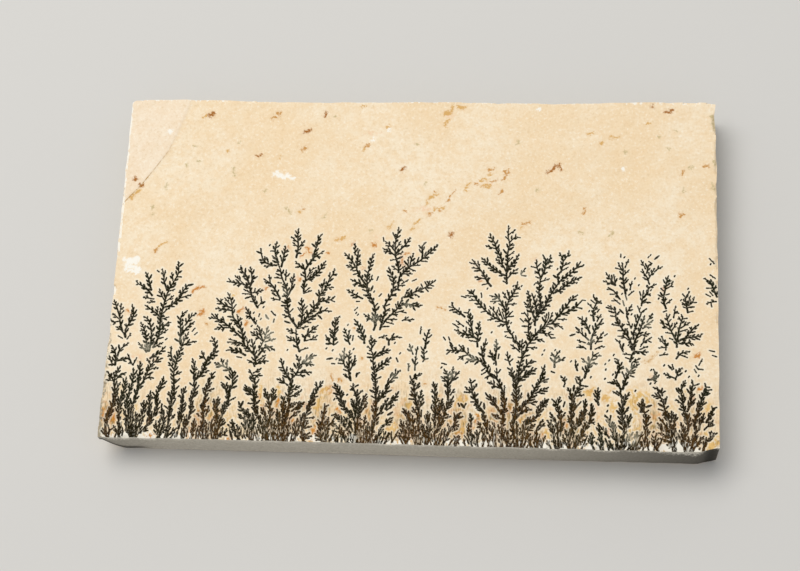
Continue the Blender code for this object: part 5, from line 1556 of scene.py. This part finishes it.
def sawn_sides(tree, place, grain, torn):
    """The sawn sides are greyer than the face, darkened along their length by painted shade, and
    crumbly and white just under the arris; on the left and back sides that white is partly a
    painted highlight."""
    dust = mix(tree, noise(tree, place, 1.8, 4.0, 0.6), linear("#c3bbab"), linear("#d0c9bb"))
    dust = mix(tree, reading(tree, grain, 0.30, 0.50, 0.45, 0.0), dust, linear("#9d9585"))
    dust = mix(tree, reading(tree, grain, 0.54, 0.70, 0.0, 0.50), dust, linear("#e6dfd0"))
    # the sides' painted shade, multiplied into their colour
    shade = add(tree, "Attribute", attribute_name="shade").outputs["Fac"]
    sawn = mix(tree, 1.0, dust, shade, "MULTIPLY")
    # on the left and back sides this white is partly a painted highlight
    white_and_highlight = field(tree, "fade", 2)
    share = calc(tree, "ADD", white_and_highlight, calc(tree, "MULTIPLY_ADD", torn, 2.4, -1.2))
    share = reading(tree, share, 0.18, 0.70, 0.0, 0.80)
    share = calc(tree, "MULTIPLY", share, reading(tree, white_and_highlight, 0.0, 0.15))
    return mix(tree, share, sawn, linear("#efe8d8"))


def limestone():
    """Fine-grained lithographic limestone, cleft along its bedding and sawn to size: matte,
    warm cream and a little cloudy, with manganese and iron oxide stains drawn in it."""
    material = bpy.data.materials.new("lithographic_limestone_cleft_and_sawn")
    material.use_nodes = True
    tree = material.node_tree
    tree.nodes.clear()
    place = add(tree, "TexCoord").outputs["Object"]
    grain = noise(tree, place, 0.42, 3.0, 0.7)
    torn = noise(tree, place, 0.36, 2.0, 0.7)
    ragged = noise(tree, place, 0.55, 3.0, 0.6)
    lift = reading(tree, ragged, 0.36, 0.64, 0.15, 1.6)
    streak = noise(tree, drawn_out(tree, place, 0.22), 0.21, 1.0, 0.5)
    brown = field(tree, "fade", 1)

    stone = bare_stone(tree, place, grain)
    stone = soft_stains(tree, stone, lift)
    stone = amber_roots(tree, place, stone, brown, streak)
    stone = flecks_on(tree, place, stone, torn)
    stone = ledge_foot(tree, stone, lift)
    stone = white_stone_and_highlight(tree, place, stone)
    face = dendrites(tree, place, stone, brown, streak, ragged)
    side = add(tree, "Attribute", attribute_name="sawn").outputs["Fac"]
    colour = mix(tree, side, face, sawn_sides(tree, place, grain, torn))

    pits = noise(tree, place, 0.9, 5.0, 0.62)
    bump = add(tree, "Bump", {"Strength": 0.5, "Distance": 0.14 * MM, "Height": pits})
    shader = add(
        tree,
        "BsdfPrincipled",
        {
            "Base Color": colour,
            "Metallic": 0.0,
            "Roughness": 0.82,
            "IOR": 1.49,
            "Specular IOR Level": 0.08,
            "Normal": bump.outputs[0],
        },
    )
    add(tree, "OutputMaterial", {0: shader.outputs[0]})
    return material


def bake_map(places, face_quads, wall_quads, under_faces, drop):
    """The map that the material is baked to, corner by corner. The face fills the top of the
    square, the front side lies in a strip under it, and below them are the underside at half
    their scale and the other three sides in strips."""
    rim = 2 * (CELLS_ACROSS + CELLS_DEEP)
    corner_x, corner_y = places[:, 0] + HALF[0] + MAP_EDGE, places[:, 1] + HALF[1] + MAP_EDGE
    walls = wall_quads.reshape(-1, rim, 4)
    ends = np.cumsum([CELLS_ACROSS, CELLS_DEEP, CELLS_ACROSS, CELLS_DEEP])
    strips = np.zeros(walls.shape + (2,))
    for side, (along, scale, left, low) in enumerate(MAP_STRIPS):
        part = slice(ends[side] - (CELLS_ACROSS, CELLS_DEEP)[side % 2], ends[side])
        number = walls[:, part]
        strips[:, part, :, 0] = left + scale * MAP_SCALE * (corner_x, corner_y)[along][number]
        strips[:, part, :, 1] = low + MAP_SCALE * drop[number]
    flat = np.stack([corner_x, corner_y], axis=-1) * MAP_SCALE
    face = flat[face_quads] + MAP_FACE
    under = 0.5 * flat[np.concatenate(under_faces)] + MAP_UNDER
    return np.concatenate([face.reshape(-1, 2), strips.reshape(-1, 2), under])


def put(mesh, name, kind, domain, values):
    """Stores whole arrays of values on the mesh as a named attribute."""
    layer = mesh.attributes.new(name, kind, domain)
    member = {"FLOAT": "value", "FLOAT_COLOR": "color"}[kind]
    layer.data.foreach_set(member, np.ascontiguousarray(values, np.float32).ravel())


def put_on_face(mesh, name, values, elsewhere):
    """Stores four values for each corner of the face, and these others at all other corners."""
    rows = np.tile(elsewhere, (len(mesh.loops), 1))
    rows[: values.size // 4] = values.reshape(-1, 4)
    put(mesh, name, "FLOAT_COLOR", "CORNER", rows)


def fleck_rows():
    """Every fleck as a stroke of even radius, and its colour."""
    rows, colours = [], []
    for shade, runs in FLECKS.items():
        for run in runs.split("/"):
            if run.strip():
                start, end, radius = run.split()
                numbers = start.split(",") + end.split(",") + [radius, radius]
                rows.append([float(number) for number in numbers])
                colours.append(linear(shade))
    return np.array(rows), np.array(colours)


def lay_strokes(mesh, corners):
    """Stores at each corner of the face its places beside the strokes nearest to its cell and
    beside the nearest fleck, and that fleck's colour."""
    centres = corners.mean(axis=1)
    strokes = grow(limb_paths() + root_fans())
    chosen = nearest_strokes(centres, strokes, NEAREST)
    for k in range(NEAREST):
        beside = stroke_frame(corners, strokes[chosen[:, k]][:, None])
        put_on_face(mesh, f"limb_{k}", beside, OFF_STROKES)
    flecks, colours = fleck_rows()
    nearest = nearest_strokes(centres, flecks, 1)[:, 0]
    put_on_face(mesh, "fleck", stroke_frame(corners, flecks[nearest][:, None]), OFF_STROKES)
    put_on_face(mesh, "fleck_colour", np.repeat(colours[nearest], 4, axis=0), np.zeros(4))


def lay_fields(mesh, places, drop, above_rim):
    """Stores the soft fields at the vertices. Three colours of soft stain make up the first; how
    faded and brown a place is and how white its crushed stone, which on the left and back arrises
    is partly a painted highlight, the second; how far past the ledge it lies, the brown line at the
    ledge's foot and the slits in the roots, the third. The last is the sides' painted shade."""
    x, y = places[:, 0], places[:, 1]
    stained = drop < STAINED_DROP
    nothing = np.zeros(len(places))
    slits = blobs(x, y, SOFT_STAINS["slits"]) * (drop < SLITS_DROP)
    soft = [blobs(x, y, SOFT_STAINS[name]) * stained for name in ("peach", "yellow", "orange")]
    soft[1] += ROOT_YELLOW * smooth_step(-17.0, -27.0, y) * stained
    white_and_highlight = white_wear_and_highlight(x, y, drop) + SLITS_FRESH * slits
    fade = [blobs(x, y, SOFT_STAINS["faded"]), brownness(x, y) * stained, white_and_highlight]
    past = np.where(stained, past_ledge(x, y), UNMEASURED)
    ledge_foot_line = LEDGE_FOOT_LINE * smooth_step(24.5, 13.5, y) * smooth_step(9.0, 11.5, y)
    roots = 0.5 * smooth_step(-21.5, -27.0, y) * stained + 0.5 * slits
    for name, parts in (("soft", soft), ("fade", fade), ("ledge", [past, ledge_foot_line, roots])):
        put(mesh, name, "FLOAT_COLOR", "POINT", np.stack(parts + [nothing], axis=-1))
    # the sides' painted shade
    put(mesh, "shade", "FLOAT", "POINT", side_crumble_and_painted_shade(x, y, drop, above_rim))


def plate():
    """The whole plate as one closed mesh, with the stroke frames at its corners and the soft
    fields at its vertices."""
    places, face_quads, wall_quads, under_faces, drop, above_rim = plate_grid()
    mesh = bpy.data.meshes.new("dendritic_limestone_plate")
    faces = face_quads.tolist() + wall_quads.tolist() + under_faces
    mesh.from_pydata(places * MM, [], faces)
    mesh.update()

    bake = mesh.uv_layers.new(name="OFBake")
    spots = bake_map(places, face_quads, wall_quads, under_faces, drop)
    bake.uv.foreach_set("vector", spots.astype(np.float32).ravel())

    lay_strokes(mesh, places[face_quads][..., :2])
    sawn = np.zeros(len(mesh.loops))
    sawn[face_quads.size : face_quads.size + wall_quads.size] = 1.0
    put(mesh, "sawn", "FLOAT", "CORNER", sawn)
    lay_fields(mesh, places, drop, above_rim)

    mesh.shade_smooth()
    mesh.set_sharp_from_angle(angle=np.radians(SHARP_ANGLE))
    mesh.materials.append(limestone())
    piece = bpy.data.objects.new("dendritic_limestone_plate", mesh)
    bpy.context.scene.collection.objects.link(piece)
    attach(piece, "root")
    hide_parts(PLATE)


# The camera looks down on the plate as in the photograph
CAMERA_LENS = 90.0
CAMERA_AZIMUTH = 13.986
CAMERA_ELEVATION = 70.562
CAMERA_ROLL = -12.062
CAMERA_DISTANCE = 317.94
CAMERA_AIM = (-1.952, -2.986, 7.475)


def camera():
    """The camera at its distance from the aim, turned about its own axis by the roll."""
    a, e, r = np.radians((CAMERA_AZIMUTH, CAMERA_ELEVATION, CAMERA_ROLL))
    back = np.array([np.sin(a) * np.cos(e), -np.cos(a) * np.cos(e), np.sin(e)])
    level = np.array([np.cos(a), np.sin(a), 0.0])
    above = np.cross(back, level)
    right = np.cos(r) * level + np.sin(r) * above
    up = np.cos(r) * above - np.sin(r) * level
    eye = (np.array(CAMERA_AIM) + back * CAMERA_DISTANCE) * MM
    data = bpy.data.cameras.new("camera")
    data.lens = CAMERA_LENS
    data.clip_start = 0.01
    view = bpy.data.objects.new("camera", data)
    turn = np.eye(4)
    turn[:3, :3] = np.column_stack([right, up, back])
    turn[:3, 3] = eye
    view.matrix_world = Matrix(turn)
    bpy.context.scene.collection.objects.link(view)
    bpy.context.scene.camera = view


def studio():
    """A pale floor, one large soft light above and behind, and a pale surround."""
    side = 3.0
    data = bpy.data.meshes.new("floor")
    data.from_pydata(
        [(-side, -side, 0.0), (side, -side, 0.0), (side, side, 0.0), (-side, side, 0.0)],
        [],
        [(0, 1, 2, 3)],
    )
    floor = bpy.data.objects.new("floor", data)
    paint = bpy.data.materials.new("matte_painted_floor")
    paint.use_nodes = True
    shader = paint.node_tree.nodes["Principled BSDF"]
    shader.inputs["Base Color"].default_value = linear("#d6d3cd")
    shader.inputs["Roughness"].default_value = 0.9
    data.materials.append(paint)
    bpy.context.scene.collection.objects.link(floor)

    lamp = bpy.data.lights.new("soft_box", "AREA")
    lamp.shape = "RECTANGLE"
    lamp.size = 0.7
    lamp.size_y = 0.5
    lamp.energy = 4.8
    hung = bpy.data.objects.new("soft_box", lamp)
    hung.location = (-0.25, 0.24, 0.80)
    aim = Vector((0.0, 0.0, 0.0)) - Vector(hung.location)
    hung.rotation_euler = aim.to_track_quat("-Z", "Y").to_euler()
    bpy.context.scene.collection.objects.link(hung)

    world = bpy.data.worlds.new("studio")
    world.use_nodes = True
    sky = world.node_tree.nodes["Background"]
    sky.inputs[0].default_value = linear("#f2f4f7")
    sky.inputs[1].default_value = 0.54
    bpy.context.scene.world = world
    bpy.context.scene.view_settings.view_transform = "Standard"


plate()
camera()
studio()
